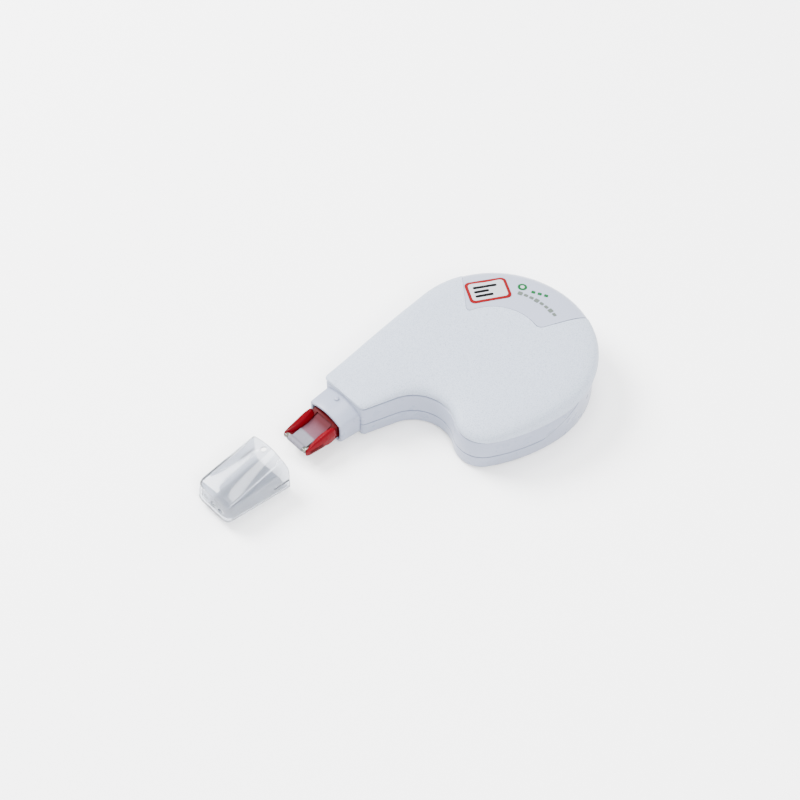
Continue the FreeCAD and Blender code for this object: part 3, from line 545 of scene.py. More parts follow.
def turned(centre, angle_deg, points):
    turn = math.radians(angle_deg)
    c, s = math.cos(turn), math.sin(turn)
    return [(centre[0] + c * x - s * y, centre[1] + s * x + c * y) for x, y in points]


def rounded_box(width, height, radius, per_corner=6):
    """Plan loop of a box with round corners."""
    loop = []
    for cx, cy, start in ((1, 1, 0), (-1, 1, 90), (-1, -1, 180), (1, -1, 270)):
        centre = (cx * (width / 2 - radius), cy * (height / 2 - radius))
        loop += [polar(centre, radius, math.radians(start + 90 * i / per_corner))
                 for i in range(per_corner + 1)]
    return loop


def print_mark(name, loop, thick, spacing, material, *nodes):
    """One printed patch of the badge or of the marks beside it."""
    settle(patch(name, loop, thick, spacing), "housing", "badge_print", material, *nodes)


def build_marks(white, red, dark, green, grey):
    """Plain badge with a stroke pictogram, a green ring and short dashes; no lettering."""
    def on_badge(width, height, radius, at=(0.0, 0.0)):
        spot = turned(BADGE_AT, BADGE_TILT, [at])[0]
        return turned(spot, BADGE_TILT, rounded_box(width, height, radius))

    print_mark("label_badge_face", on_badge(12.9, 8.9, 1.6), 0.10, 0.6, red, "label_badge")
    print_mark("badge_field", on_badge(11.0, 7.0, 1.0), 0.14, 0.6, white)
    for number, (across, up, wide) in enumerate(((-0.6, 1.55, 7.4), (-2.05, -0.2, 4.7), (-1.6, -1.95, 5.6))):
        stroke = on_badge(wide, 1.0, 0.45, (across, up))
        print_mark("badge_ink_line_%d" % number, stroke, 0.18, 0.5, dark)
    ring_at = (22.0, 10.2)
    print_mark("green_disc", circle(ring_at, 1.45, 28), 0.04, 0.6, green)
    print_mark("green_disc_centre", circle(ring_at, 0.65, 20), 0.06, 0.4, white)
    for number in range(3):
        spot = (22.9 + 0.95 * number, 6.5 - 1.75 * number)
        dash = turned(spot, -61.0, rounded_box(1.25, 1.15, 0.3, 4))
        print_mark("green_dash_%d" % number, dash, 0.04, 0.5, green)
    dash_r = 21.4
    for number in range(8):
        angle = math.radians(24.0 - 5.0 * number)
        spot = polar((0, 0), dash_r, angle)
        wide, tall = (1.35, 1.05) if number % 3 else (1.5, 1.5)
        dash = turned(spot, math.degrees(angle) + 90, rounded_box(wide, tall, 0.3, 4))
        print_mark("grey_dash_%d" % number, dash, 0.04, 0.5, grey)


# ---------------------------------------------------------------- neck sleeve and cap sections
def section(near, far, low, top, corner, ridge=0.0):
    """Loop of (side, height) points: flat base, round lower corners, sides and a domed top.

    Each flank is (half width, shoulder, crease, pull): the side is straight up to the
    shoulder height, then bends towards pull and ends at crease, where the dome begins.
    """
    def flank_points(flank):
        half, shoulder, crease, pull = flank
        points = []
        for i in range(9):
            turn = math.pi / 2 * i / 8
            points.append((half - corner + corner * math.sin(turn), low + corner - corner * math.cos(turn)))
        for i in range(1, 5):
            points.append((half, low + corner + (shoulder - low - corner) * i / 4))
        for i in range(1, 13):
            t = i / 12
            points.append(tuple((1 - t) ** 2 * a + 2 * t * (1 - t) * b + t * t * c
                                for a, b, c in zip((half, shoulder), pull, crease)))
        points[-1] = (points[-1][0] + 0.20 * ridge, points[-1][1] + 0.34 * ridge)
        for i in range(1, 15):
            side = crease[0] * (1 - i / 14)
            points.append((side, crease[1] + (top - crease[1]) * (1 - (side / crease[0]) ** 2)))
        return points

    right = flank_points(near)
    left = [(-side, height) for side, height in reversed(flank_points(far)[:-1])]
    start = near[0] - corner
    stop = corner - far[0]
    base = [(stop + (start - stop) * i / 8, low) for i in range(1, 8)]
    return right + left + base


def placed(loop, x):
    """Section loop set across the neck at x."""
    return [(x, AXIS_Y - side, height) for side, height in loop]


def blend_sections(a, b, share):
    """Value for value mix of two nested section descriptions."""
    if isinstance(a, tuple):
        return tuple(blend_sections(u, v, share) for u, v in zip(a, b))
    return a + (b - a) * share


def shrink(spec, wall):
    """Section description moved inwards by a wall thickness."""
    near, far, low, top, corner = spec

    def inner(flank):
        half, shoulder, crease, pull = flank
        return (half - wall, shoulder, (crease[0] - wall * 0.6, crease[1] - wall * 0.8),
                (pull[0] - wall * 0.9, pull[1] - wall * 0.45))
    return (inner(near), inner(far), low + wall, top - wall, max(0.3, corner - wall * 0.5))


def build_sleeve(material):
    """Thin mouth of the neck with a rounded front rim and a small click nub."""
    half = (SLEEVE_HIGH[1] - SLEEVE_LOW[1]) / 2
    rear_x = NECK_END + 0.6
    front_x = SLEEVE_LOW[0]
    rear = ((half, 8.4, (half - 1.0, 9.8), (half - 0.1, 9.3)), (half, 9.0, (half - 0.6, 10.05), (half, 9.95)),
            SLEEVE_LOW[2], 11.35, 1.7)
    front = ((half - 0.55, 7.9, (half - 1.5, 9.25), (half - 0.65, 8.9)),
             (half - 0.12, 8.5, (half - 0.7, 9.4), (half - 0.12, 9.3)), SLEEVE_LOW[2] + 0.4, 10.6, 1.6)
    wall = SLEEVE_WALL
    length = rear_x - front_x
    stations = [(rear_x, 0.0), (NECK_END + 0.05, 0.0), (NECK_END - 0.35, 0.0), (-45.0, 0.0), (-47.0, 0.0)]
    stations += [(front_x + 0.45, 0.0), (front_x + 0.2, 0.06), (front_x + 0.05, 0.2), (front_x, 0.42)]
    stations += [(front_x, wall - 0.3), (front_x + 0.08, wall - 0.1), (front_x + 0.3, wall)]
    stations += [(-46.5, wall), (-44.0, wall)]
    rings = []
    for x, inset in stations:
        spec = shrink(blend_sections(rear, front, (rear_x - x) / length), inset)
        rings.append(placed(section(*spec), x))
    obj = link_mesh("neck_sleeve", *capped(rings), 26.0)
    settle(obj, "housing", "shell_plastic", material, "nose_sleeve")
    nub_rings = []
    for radius, height in ((0.75, -0.25), (0.7, 0.02), (0.52, 0.14), (0.28, 0.2), (0.06, 0.22)):
        nub_rings.append([(x, y, NUB_BASE + height) for x, y in circle(NUB_AT, radius, 24)])
    nub = link_mesh("click_nub", *capped(nub_rings), 60.0)
    settle(nub, "housing", "shell_plastic", material)


def oval_cutter(name, x0, x1, y, z, wide, tall):
    turns = [math.tau * i / 28 for i in range(28)]
    ends = [[(x, y + wide / 2 * math.cos(turn), z + tall / 2 * math.sin(turn)) for turn in turns]
            for x in (x0, x1)]
    return link_mesh(name, *capped(ends))


def box_cutter(name, low, high):
    verts = [(x, y, z) for x in (low[0], high[0]) for y in (low[1], high[1]) for z in (low[2], high[2])]
    faces = [(0, 1, 3, 2), (4, 6, 7, 5), (0, 4, 5, 1), (2, 3, 7, 6), (0, 2, 6, 4), (1, 5, 7, 3)]
    return link_mesh(name, verts, faces)


def cap_wall_rings():
    """Rings of the cap from the rim over the outside to the end, then back along the inside."""
    half = (CAP_HIGH[1] - CAP_LOW[1]) / 2
    rim_x = CAP_HIGH[0]
    end_x = CAP_LOW[0]
    rim = ((half, 7.8, (4.7, 11.2), (half - 0.05, 10.6)), (half, 8.8, (half - 0.85, 10.9), (half, 10.6)),
           0.0, CAP_HIGH[2] - 0.05, 2.0)
    end = ((half - 1.45, 6.2, (6.05, 8.55), (half - 1.5, 8.0)),
           (half - 0.85, 7.4, (6.5, 8.75), (half - 0.85, 8.6)), 1.25, 9.15, 2.2)
    wall = CAP_WALL
    length = rim_x - end_x

    def ring_at(x, inset):
        spec = shrink(blend_sections(rim, end, (rim_x - x) / length), inset)
        lean_back = max(0.0, 1 - (x - end_x) / 6.0) ** 2 * 1.25
        depth = min(1.0, (rim_x - x) / length * 8.0)
        ridge = depth if inset < 0.05 else 0.0
        return [(px + lean_back * min(1.0, max(0.0, (pz - 3.0) / 5.6)) ** 1.4, py, pz)
                for px, py, pz in placed(section(*spec, ridge), x)]

    outside = [(rim_x, 0.3), (rim_x - 0.05, 0.12), (rim_x - 0.25, 0.0)]
    outside += [(rim_x - length * i / 14, 0.0) for i in range(1, 13)]
    outside += [(end_x + 1.5, 0.02), (end_x + 1.05, 0.1), (end_x + 0.6, 0.34), (end_x + 0.25, 0.72),
                (end_x + 0.06, 1.15), (end_x, 1.6)]
    inside = [(end_x + 0.9, 2.2), (end_x + 1.0, 1.6), (end_x + 1.4, 1.1), (end_x + 2.0, wall)]
    inside += [(end_x + length * i / 14, wall) for i in range(2, 14)]
    inside += [(rim_x - 0.15, wall), (rim_x, wall - 0.18)]
    return [ring_at(x, inset) for x, inset in outside], [ring_at(x, inset) for x, inset in inside]


def cap_cutters():
    """Vents in the end, a slit in each side and the hole that clicks over the nub."""
    rim_x = CAP_HIGH[0]
    end_x = CAP_LOW[0]
    top = CAP_HIGH[2]
    cutters = []
    for k in range(3):
        side = AXIS_Y + 0.3 + VENT_STEP * (k - 1)
        cutters.append(oval_cutter("vent_cut_%d" % k, end_x - 1, end_x + 2.4, side, VENT_Z, 2.2, 1.6))
    for name, side in (("near_slot_cut", CAP_LOW[1]), ("far_slot_cut", CAP_HIGH[1])):
        cutters.append(box_cutter(name, (rim_x - 5.7, side - 2.0, 4.5), (rim_x + 1, side + 2.0, 5.2)))
    hole_at = (rim_x - 1.8, AXIS_Y + 1.05)
    hole = [[(x, y, z) for x, y in circle(hole_at, CLICK_HOLE_R, 24)] for z in (top - 3, top + 2)]
    cutters.append(link_mesh("click_hole_cut", *capped(hole)))
    return cutters


def build_cap(material):
    """Clear frosted cap: creased, tapered and hollow, closed at its outer end."""
    outside, inside = cap_wall_rings()
    count = len(outside[0])
    outer_verts, outer_faces = strip(outside)
    inner_verts, inner_faces = strip(inside)
    start = len(outer_verts)
    verts = outer_verts + inner_verts
    faces = outer_faces + [tuple(i + start for i in face) for face in inner_faces]
    faces.append(tuple(range(start - count, start)))
    faces.append(tuple(range(start, start + count)))
    last = len(verts) - count
    faces += [(i, (i + 1) % count, last + (i + 1) % count, last + i) for i in range(count)]
    cap = link_mesh("frosted_cap", verts, faces, 32.0)
    apply_booleans(cap, cap_cutters(), "DIFFERENCE")
    shade(cap, 28.0)
    settle(cap, "cap", "frosted_cap", material, "cap")


# ---------------------------------------------------------------- flexing tip
def extrude_profile(name, profile, y0, y1):
    """Side profile (x, z) swept in y with bevelled edges."""
    count = len(profile)
    verts = [(x, y0, z) for x, z in profile] + [(x, y1, z) for x, z in profile]
    faces = [tuple(range(count)), tuple(range(count, 2 * count))]
    faces += [(i, (i + 1) % count, (i + 1) % count + count, i + count) for i in range(count)]
    obj = link_mesh(name, verts, faces)
    step = obj.modifiers.new("edge", "BEVEL")
    step.width = PROFILE_BEVEL * MM
    step.segments = 3
    step.limit_method = "ANGLE"
    step.angle_limit = math.radians(28)
    apply_modifiers(obj)
    shade(obj, 40.0)
    return obj


def soft_polygon(points, reach):
    """Closed loop with every corner rounded over a short reach."""
    loop = []
    for i, corner in enumerate(points):
        before = points[i - 1]
        after = points[(i + 1) % len(points)]
        _, curve, last = soft_corner(before, corner, after, reach, 3)
        loop += curve + [last]
    return loop


def cheek(name, sign, material):
    """One arm of the holder: broad top facet, upright inner face, bulged outside, round rear."""
    stations = [
        # x, low, high, outer side, inner side, ridge side
        (-50.2, 4.9, 7.3, 5.18, 4.4, 4.8),
        (-50.3, 4.2, 8.2, 5.53, 4.0, 4.7),
        (-50.6, 3.6, 8.72, 5.78, 3.6, 4.45),
        (-51.2, 3.3, 9.04, 5.9, 3.35, 4.2),
        (-52.4, 3.2, 9.12, 5.96, 3.25, 4.0),
        (-53.7, 3.2, 8.97, 5.96, 3.2, 3.85),
        (-54.1, 3.55, 8.87, 5.9, 3.2, 3.8),
        (-55.6, 3.62, 8.52, 5.8, 3.2, 3.8),
        (-57.2, 3.75, 8.2, 5.68, 3.3, 3.9),
        (-58.6, 3.9, 7.85, 5.54, 3.55, 4.1),
        (-59.8, 4.1, 7.55, 5.38, 3.95, 4.35),
        (-60.8, 4.45, 7.25, 5.18, 4.3, 4.55),
        (-61.25, 4.85, 6.95, 5.03, 4.45, 4.65),
        (-61.45, 5.3, 6.5, 4.83, 4.6, 4.7),
    ]
    rings = []
    for x, low, high, outer, inner, ridge in stations:
        tall = high - low
        width = outer - inner
        corners = [(inner, low + 0.12 * tall), (inner + 0.2 * width, low), (outer - 0.3 * width, low),
                   (outer - 0.04 * width, low + 0.2 * tall), (outer, low + 0.6 * tall),
                   (outer - 0.16 * width, high - 0.12 * tall), (outer - 0.34 * width, high),
                   (ridge, high - 0.10 * tall), (inner, high - 0.3 * tall)]
        loop = soft_polygon(corners, 0.07 * min(width, tall))
        rings.append([(x, AXIS_Y + sign * side, z) for side, z in loop])
    obj = link_mesh(name, *capped(rings), 35.0)
    return settle(obj, "flex_tip", "red_plastic", material)


def clip_rib(name, sign, material):
    """Long flat boss on the outer face of an arm, where the blade is held."""
    stations = [
        # x, outer side, half height
        (-55.3, 5.73, 0.1), (-55.45, 5.86, 0.38), (-55.9, 5.91, 0.55), (-57.2, 5.83, 0.6),
        (-58.6, 5.69, 0.6), (-59.6, 5.54, 0.55), (-60.1, 5.43, 0.38), (-60.25, 5.28, 0.1),
    ]
    mid = 5.75
    root = 5.0
    rings = []
    for x, out, half in stations:
        loop = [(root, mid - half), (out - 0.08, mid - half), (out, mid - 0.7 * half),
                (out, mid + 0.7 * half), (out - 0.08, mid + half), (root, mid + half)]
        rings.append([(x, AXIS_Y + sign * side, z) for side, z in loop])
    obj = link_mesh(name, *capped(rings), 30.0)
    return settle(obj, "flex_tip", "red_plastic", material)


def build_carrier(material, thick_shaded_red):
    """Red tip holder: rear block with a slanted front and two arms."""
    side = [(-43.3, 3.3), (-43.3, 8.3), (-48.8, 8.3), (-49.6, 8.1), (-51.9, 7.0),
            (-51.9, 6.8), (-50.9, 6.8), (-50.9, 5.2), (-52.4, 4.9), (-52.4, 3.6)]
    block = extrude_profile("carrier_block", side, AXIS_Y - 5.0, AXIS_Y + 5.0)
    throat = box_cutter("throat_cut", (-54.0, AXIS_Y - 3.3, 4.7), (-42.0, AXIS_Y + 3.3, 8.0))
    apply_booleans(block, [throat], "DIFFERENCE")
    shade(block, 40.0)
    # The block and the clip ribs take the darker red: painted shade for the block in the sleeve's shadow, and
    # the deeper colour of thick tinted plastic.
    settle(block, "flex_tip", "red_plastic", thick_shaded_red, "tip_carrier")
    clip_rib("blade_clip_near", -1, thick_shaded_red)
    clip_rib("blade_clip_far", 1, thick_shaded_red)
    cheek("carrier_arm_near", -1, material)
    cheek("carrier_arm_far", 1, material)


def build_blade(material):
    """Clear blade: plate under the tape and a rounded pressing edge wider than the tape."""
    half = (BLADE_HIGH[1] - BLADE_LOW[1]) / 2
    edge_x = PRESS_EDGE[0]
    side = [(edge_x, 5.7), (-56.0, 5.4), (-50.9, 5.4), (-50.9, 6.6), (-53.2, 6.05), (-59.2, 5.95),
            (edge_x, 6.4)]
    plate = extrude_profile("blade_plate", side, AXIS_Y - 3.15, AXIS_Y + 3.15)
    settle(plate, "flex_tip", "clear_plastic", material, "tip_blade")
    rings = []
    for y, r in ((-half, PRESS_R - 0.2), (-half + 0.06, PRESS_R - 0.06), (-half + 0.2, PRESS_R),
                 (-3.4, PRESS_R), (-3.2, PRESS_R - 0.02), (3.2, PRESS_R - 0.02), (3.4, PRESS_R),
                 (half - 0.2, PRESS_R), (half - 0.06, PRESS_R - 0.06), (half, PRESS_R - 0.2)):
        rings.append([(x, AXIS_Y + y, z) for x, z in circle(PRESS_EDGE, r, 28)])
    edge = link_mesh("blade_edge", *capped(rings), 40.0)
    settle(edge, "flex_tip", "clear_plastic", material)


def build_tape(material):
    """Tape over the blade, round the pressing edge and back underneath."""
    inner = 0.80
    path = [(-42.6, 7.7), (-46.0, 7.7), (-49.6, 7.6), (-50.6, 7.25), (-52.4, 6.55), (-53.4, 6.28),
            (-54.5, 6.2), (-56.2, 6.17), (-56.45, 6.3), (-56.7, 6.31), (-58.9, 6.08), (-59.6, 6.0),
            (-59.95, 6.12)]
    path += [polar(PRESS_EDGE, inner, math.radians(40 + 230 * i / 14)) for i in range(15)]
    path += [(-58.5, 5.22), (-56.0, 5.1), (-50.0, 5.1), (-42.6, 5.1)]
    half = (TAPE_HIGH[1] - TAPE_LOW[1]) / 2
    inside, outside = [], []
    for index, (x, z) in enumerate(path):
        before = path[max(0, index - 1)]
        after = path[min(len(path) - 1, index + 1)]
        dx, dz = after[0] - before[0], after[1] - before[1]
        size = math.hypot(dx, dz)
        inside.append((x, z))
        outside.append((x + dz / size * TAPE_THICK, z - dx / size * TAPE_THICK))
    rings = []
    for side, loop in ((-half, inside), (half, inside), (half, outside), (-half, outside)):
        rings.append([(x, AXIS_Y + side, z) for x, z in loop])
    rings.append(rings[0])
    verts, faces = strip(rings, closed=False)
    count = len(path)
    faces += [(0, count, 2 * count, 3 * count), (count - 1, 2 * count - 1, 3 * count - 1, 4 * count - 1)]
    obj = link_mesh("tape_over_blade", verts, faces, 30.0, merge=0.001)
    settle(obj, "flex_tip", "white_tape", material, "tip_tape")


# ---------------------------------------------------------------- materials
def new_material(name):
    mat = bpy.data.materials.new(name)
    mat.use_nodes = True
    nodes = mat.node_tree.nodes
    return mat, nodes, mat.node_tree.links, nodes["Principled BSDF"]


def coords(nodes):
    return nodes.new("ShaderNodeTexCoord").outputs["Object"]


def noise(nodes, links, where, scale, detail=3.0, rough=0.5):
    node = nodes.new("ShaderNodeTexNoise")
    node.inputs["Scale"].default_value = scale
    node.inputs["Detail"].default_value = detail
    node.inputs["Roughness"].default_value = rough
    links.new(where, node.inputs["Vector"])
    return node.outputs["Fac"]


def ramp(nodes, links, value, low, high, dark, light):
    node = nodes.new("ShaderNodeValToRGB")
    node.color_ramp.elements[0].position = low
    node.color_ramp.elements[1].position = high
    node.color_ramp.elements[0].color = (*dark, 1)
    node.color_ramp.elements[1].color = (*light, 1)
    links.new(value, node.inputs["Fac"])
    return node.outputs["Color"]


def spread(nodes, links, value, low, high):
    node = nodes.new("ShaderNodeMapRange")
    node.inputs["To Min"].default_value = low
    node.inputs["To Max"].default_value = high
    links.new(value, node.inputs["Value"])
    return node.outputs["Result"]


def bump(nodes, links, value, strength, distance, below=None):
    node = nodes.new("ShaderNodeBump")
    node.inputs["Strength"].default_value = strength
    node.inputs["Distance"].default_value = distance
    links.new(value, node.inputs["Height"])
    if below is not None:
        links.new(below, node.inputs["Normal"])
    return node.outputs["Normal"]


def shaded(nodes, links, colour, reach, depth):
    """Painted shade: colour darkened by ambient occlusion inside narrow gaps and creases."""
    hollow = nodes.new("ShaderNodeAmbientOcclusion")
    hollow.inputs["Distance"].default_value = reach
    hollow.samples = 16
    mix = nodes.new("ShaderNodeMix")
    mix.data_type = "RGBA"
    mix.blend_type = "MULTIPLY"
    mix.inputs["Factor"].default_value = 1.0
    links.new(colour, mix.inputs[6])
    links.new(ramp(nodes, links, hollow.outputs["AO"], 0.1, 0.85, depth, (1.0, 1.0, 1.0)), mix.inputs[7])
    return mix.outputs[2]


def plastic(name, dark, light, rough, grain, grain_strength, shine=0.25, mottle=60.0):
    """Moulded plastic: faint mottling, painted shade in creases and gaps, roughness variation and a fine
    grain.
    """
    mat, nodes, links, shader = new_material(name)
    where = coords(nodes)
    colour = ramp(nodes, links, noise(nodes, links, where, mottle, 4.0), 0.2, 0.8, dark, light)
    # Painted shade: the mottled colour is darkened in creases and gaps.
    links.new(shaded(nodes, links, colour, 0.0015, (0.42, 0.43, 0.48)), shader.inputs["Base Color"])
    links.new(spread(nodes, links, noise(nodes, links, where, 240.0, 3.0), rough - 0.06, rough + 0.08),
              shader.inputs["Roughness"])
    links.new(bump(nodes, links, noise(nodes, links, where, grain, 2.0), grain_strength, 0.00004),
              shader.inputs["Normal"])
    shader.inputs["Specular IOR Level"].default_value = shine
    return mat


def spark_texture(name, dark, light):
    """Spark-eroded grip texture: sharp fine pits and bright grains, with painted shade in creases and gaps.
    """
    mat, nodes, links, shader = new_material(name)
    where = coords(nodes)
    cells = nodes.new("ShaderNodeTexVoronoi")
    cells.inputs["Scale"].default_value = 3400.0
    links.new(where, cells.inputs["Vector"])
    fine = noise(nodes, links, where, 2600.0, 3.0, 0.6)
    mix = nodes.new("ShaderNodeMath")
    mix.operation = "ADD"
    links.new(cells.outputs["Distance"], mix.inputs[0])
    links.new(fine, mix.inputs[1])
    colour = ramp(nodes, links, mix.outputs[0], 0.55, 1.15, dark, light)
    # Painted shade: the grain colour is darkened in creases and gaps, most of all along the pad's crease.
    links.new(shaded(nodes, links, colour, 0.0025, (0.42, 0.43, 0.48)), shader.inputs["Base Color"])
    links.new(spread(nodes, links, noise(nodes, links, where, 1500.0, 2.0), 0.38, 0.62),
              shader.inputs["Roughness"])
    soft = bump(nodes, links, noise(nodes, links, where, 130.0, 2.0), 0.12, 0.0003)
    links.new(bump(nodes, links, mix.outputs[0], 0.5, 0.00006, soft), shader.inputs["Normal"])
    shader.inputs["Specular IOR Level"].default_value = 0.25
    return mat


def tape_material(name):
    """White correction film; towards the red holder its colour turns mauve, then deep red: painted shade and
    a painted reflection of the red holder.
    """
    mat, nodes, links, shader = new_material(name)
    where = coords(nodes)
    grain = noise(nodes, links, where, 1500.0, 3.0)
    split = nodes.new("ShaderNodeSeparateXYZ")
    links.new(where, split.inputs["Vector"])
    along = nodes.new("ShaderNodeMapRange")
    along.inputs["From Min"].default_value = -0.0620
    along.inputs["From Max"].default_value = -0.0500
    links.new(split.outputs["X"], along.inputs["Value"])
    # Colour ramp along x: grey film at the front, then mauve and deep red towards the holder, which is
    # painted shade and a painted reflection of the red holder.
    tint = nodes.new("ShaderNodeValToRGB")
    tint.color_ramp.elements[0].position = 0.44
    tint.color_ramp.elements[0].color = (0.135, 0.13, 0.155, 1)
    tint.color_ramp.elements[1].position = 0.90
    tint.color_ramp.elements[1].color = (0.05, 0.006, 0.010, 1)
    for place, painted_shade_stop in ((0.50, (0.105, 0.050, 0.068, 1)), (0.72, (0.090, 0.034, 0.048, 1))):
        tint.color_ramp.elements.new(place).color = painted_shade_stop
    links.new(along.outputs["Result"], tint.inputs["Fac"])
    mix = nodes.new("ShaderNodeMix")
    mix.data_type = "RGBA"
    mix.blend_type = "MULTIPLY"
    mix.inputs["Factor"].default_value = 1.0
    links.new(tint.outputs["Color"], mix.inputs[6])
    links.new(ramp(nodes, links, grain, 0.3, 0.7, (0.92, 0.92, 0.92), (1.0, 1.0, 1.0)), mix.inputs[7])
    # Painted shade: the film is darkened in the step behind the pressing edge and in other narrow gaps.
    links.new(shaded(nodes, links, mix.outputs[2], 0.0012, (0.10, 0.10, 0.12)), shader.inputs["Base Color"])
    links.new(spread(nodes, links, grain, 0.45, 0.58), shader.inputs["Roughness"])
    links.new(bump(nodes, links, grain, 0.1, 0.00003), shader.inputs["Normal"])
    shader.inputs["Specular IOR Level"].default_value = 0.06
    return mat


def clear_material(name, tint, rough, transmission, grain_strength, light=None, shine=0.5):
    """Glossy plastic, see-through as far as transmission says, with a faint ripple."""
    mat, nodes, links, shader = new_material(name)
    where = coords(nodes)
    colour = ramp(nodes, links, noise(nodes, links, where, 90.0, 3.0), 0.3, 0.7, tint, light or tint)
    links.new(colour, shader.inputs["Base Color"])
    links.new(spread(nodes, links, noise(nodes, links, where, 300.0, 3.0), rough - 0.05, rough + 0.07),
              shader.inputs["Roughness"])
    links.new(bump(nodes, links, noise(nodes, links, where, 900.0, 2.0), grain_strength, 0.00003),
              shader.inputs["Normal"])
    shader.inputs["Transmission Weight"].default_value = transmission
    shader.inputs["IOR"].default_value = 1.46
    shader.inputs["Specular IOR Level"].default_value = shine
    return mat


def wound_layers(name, dark, light):
    """Edge of a wound roll: fine rings of film."""
    mat, nodes, links, shader = new_material(name)
    where = coords(nodes)
    fine = noise(nodes, links, where, 1200.0, 2.0)
    links.new(ramp(nodes, links, fine, 0.3, 0.7, dark, light), shader.inputs["Base Color"])
    links.new(spread(nodes, links, fine, 0.35, 0.6), shader.inputs["Roughness"])
    links.new(bump(nodes, links, fine, 0.3, 0.00005), shader.inputs["Normal"])
    return mat


def repaint(node, material):
    """Own material on a CAD node that stays as it is."""
    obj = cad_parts[node]
    for cell in obj.material_slots:
        cell.material = material
    if not obj.material_slots:
        obj.data.materials.append(material)


# ---------------------------------------------------------------- studio
def area_light(name, where, aim, size, power):
    data = bpy.data.lights.new(name, "AREA")
    data.shape = "DISK"
    data.size = size
    data.energy = power
    obj = bpy.data.objects.new(name, data)
    obj.location = where
    obj.rotation_mode = "QUATERNION"
    obj.rotation_quaternion = (Vector(aim) - Vector(where)).to_track_quat("-Z", "Y")
    bpy.context.scene.collection.objects.link(obj)


def build_floor():
    mesh = bpy.data.meshes.new("studio_floor")
    reach = 3.0
    mesh.from_pydata([(-reach, -reach, 0), (reach, -reach, 0), (reach, reach, 0), (-reach, reach, 0)], [],
                     [(0, 1, 2, 3)])
    floor = bpy.data.objects.new("studio_floor", mesh)
    floor.location.z = -0.00005
    bpy.context.scene.collection.objects.link(floor)
    mat, nodes, links, shader = new_material("paper_white")
    where = coords(nodes)
    cloud = noise(nodes, links, where, 3.0)
    links.new(ramp(nodes, links, cloud, 0.3, 0.7, (0.93, 0.93, 0.935), (0.95, 0.95, 0.95)),
              shader.inputs["Base Color"])
    shader.inputs["Roughness"].default_value = 0.9
    shader.inputs["Specular IOR Level"].default_value = 0.1
    mesh.materials.append(mat)


def build_camera():
    """Camera at the photograph's viewing angle."""
    data = bpy.data.cameras.new("camera")
    data.sensor_width = 36.0
    data.lens = 92.6
    data.clip_start = 0.01
    data.clip_end = 20.0
    camera = bpy.data.objects.new("camera", data)
    azimuth = math.radians(-43.0)
    elevation = math.radians(51.4)
    distance = 0.602
    target = Vector((-0.0291, 0.0092, 0.0078))
    back = Vector((math.sin(azimuth) * math.cos(elevation), -math.cos(azimuth) * math.cos(elevation),
                   math.sin(elevation)))
    camera.location = target + back * distance
    camera.rotation_mode = "QUATERNION"
    camera.rotation_quaternion = (-back).to_track_quat("-Z", "Y")
    bpy.context.scene.collection.objects.link(camera)
    bpy.context.scene.camera = camera


def build_world():
    """White studio dome, a little brighter towards the horizon than overhead."""
    world = bpy.data.worlds.new("studio")
    bpy.context.scene.world = world
    world.use_nodes = True
    nodes = world.node_tree.nodes
    links = world.node_tree.links
    split = nodes.new("ShaderNodeSeparateXYZ")
    links.new(nodes.new("ShaderNodeTexCoord").outputs["Generated"], split.inputs["Vector"])
    fade = nodes.new("ShaderNodeMapRange")
    fade.inputs["From Min"].default_value = 0.0
    fade.inputs["From Max"].default_value = 0.9
    fade.inputs["To Min"].default_value = 2.35
    fade.inputs["To Max"].default_value = 1.5
    links.new(split.outputs["Z"], fade.inputs["Value"])
    background = nodes["Background"]
    background.inputs["Color"].default_value = (1.0, 1.0, 1.0, 1)
    links.new(fade.outputs["Result"], background.inputs["Strength"])


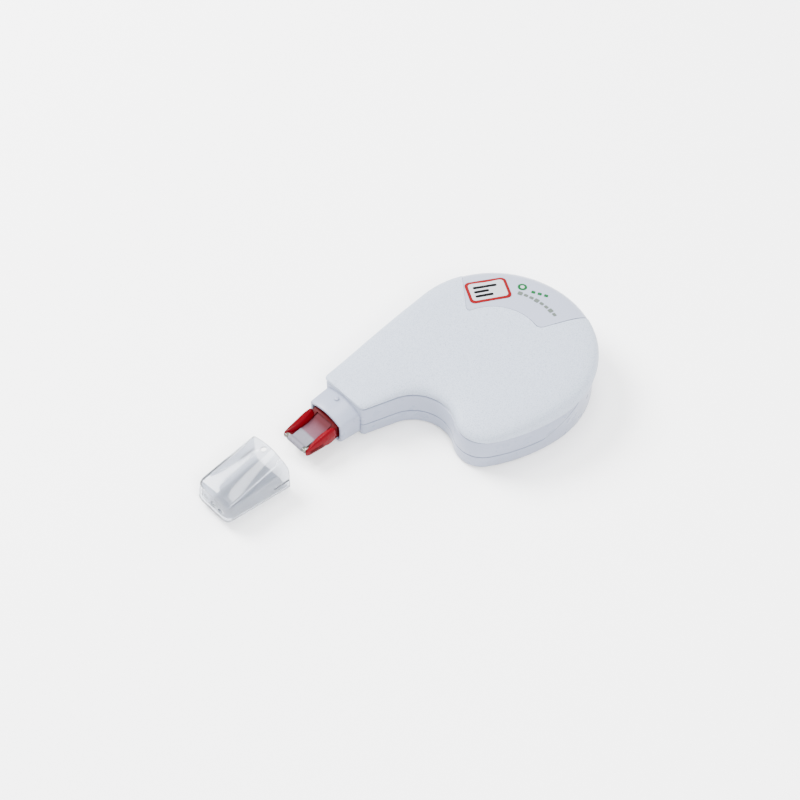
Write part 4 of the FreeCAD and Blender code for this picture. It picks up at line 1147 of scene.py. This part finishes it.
def build_object():
    shell = plastic("satin_shell", (0.220, 0.244, 0.318), (0.226, 0.250, 0.325), 0.28, 900.0, 0.12)
    grip = spark_texture("spark_grip", (0.19, 0.222, 0.285), (0.32, 0.36, 0.435))
    label = plastic("label_satin", (0.245, 0.268, 0.340), (0.252, 0.276, 0.350), 0.22, 700.0, 0.08, 0.35)
    red = clear_material("tinted_red", (0.085, 0.0002, 0.003), 0.2, 0.0, 0.15, (0.10, 0.0003, 0.004), 0.06)
    clear = clear_material("clear_blade", (0.42, 0.46, 0.38), 0.10, 0.9, 0.1)
    # deep_red is a darker copy of the red plastic: painted shade where the block lies in the sleeve's shadow,
    # and the deeper colour of thick tinted plastic.
    deep_red = clear_material("deep_red", (0.035, 0.0002, 0.001), 0.42, 0.0, 0.15,
                              (0.045, 0.0002, 0.0014), 0.05)
    frosted = clear_material("frosted_cap_plastic", (0.58, 0.61, 0.67), 0.09, 0.92, 0.02, (0.61, 0.64, 0.70))
    tape = tape_material("tape_film")
    white = plastic("print_white", (0.30, 0.31, 0.34), (0.33, 0.34, 0.37), 0.3, 900.0, 0.06)
    print_red = plastic("print_red", (0.11, 0.0015, 0.003), (0.13, 0.002, 0.004), 0.32, 900.0, 0.06, 0.1)
    dark = plastic("print_dark", (0.0012, 0.0012, 0.0016), (0.002, 0.002, 0.0024), 0.4, 900.0, 0.06, 0.08)
    green = plastic("print_green", (0.002, 0.06, 0.015), (0.003, 0.075, 0.02), 0.4, 900.0, 0.06, 0.1)
    grey = plastic("print_grey", (0.07, 0.085, 0.075), (0.085, 0.10, 0.09), 0.4, 900.0, 0.06, 0.1)
    build_lower_shell(shell)
    build_band(shell)
    build_pad(grip)
    build_label(label)
    build_marks(white, print_red, dark, green, grey)
    build_sleeve(shell)
    build_cap(frosted)
    build_carrier(red, deep_red)
    build_blade(clear)
    build_tape(tape)
    spool = plastic("spool_white", (0.34, 0.345, 0.355), (0.37, 0.375, 0.385), 0.4, 700.0, 0.2)
    gear = plastic("gear_grey", (0.20, 0.21, 0.23), (0.23, 0.24, 0.26), 0.42, 700.0, 0.25)
    rubber = plastic("friction_rubber_black", (0.012, 0.012, 0.013), (0.02, 0.02, 0.021), 0.7, 1200.0, 0.3)
    fresh = wound_layers("wound_tape", (0.36, 0.36, 0.36), (0.42, 0.42, 0.42))
    spent = wound_layers("wound_backing", (0.24, 0.21, 0.16), (0.31, 0.28, 0.22))
    for node, material in (("supply_core", spool), ("takeup_reel", spool), ("supply_gear", gear),
                           ("clutch_ring", rubber), ("supply_roll", fresh), ("takeup_roll", spent),
                           ("tape_feed", tape), ("tape_return", spent)):
        repaint(node, material)


build_world()
build_camera()
build_floor()
area_light("key", (-0.20, 0.70, 0.70), (0, 0, 0), 0.55, 36.0)
area_light("front", (-0.30, -0.60, 0.75), (0, 0, 0), 0.35, 15.0)
area_light("fill", (0.8, -0.2, 0.45), (0, 0, 0), 0.5, 6.0)
area_light("top", (0.15, 0.2, 1.0), (0, 0, 0), 0.4, 8.0)
build_object()
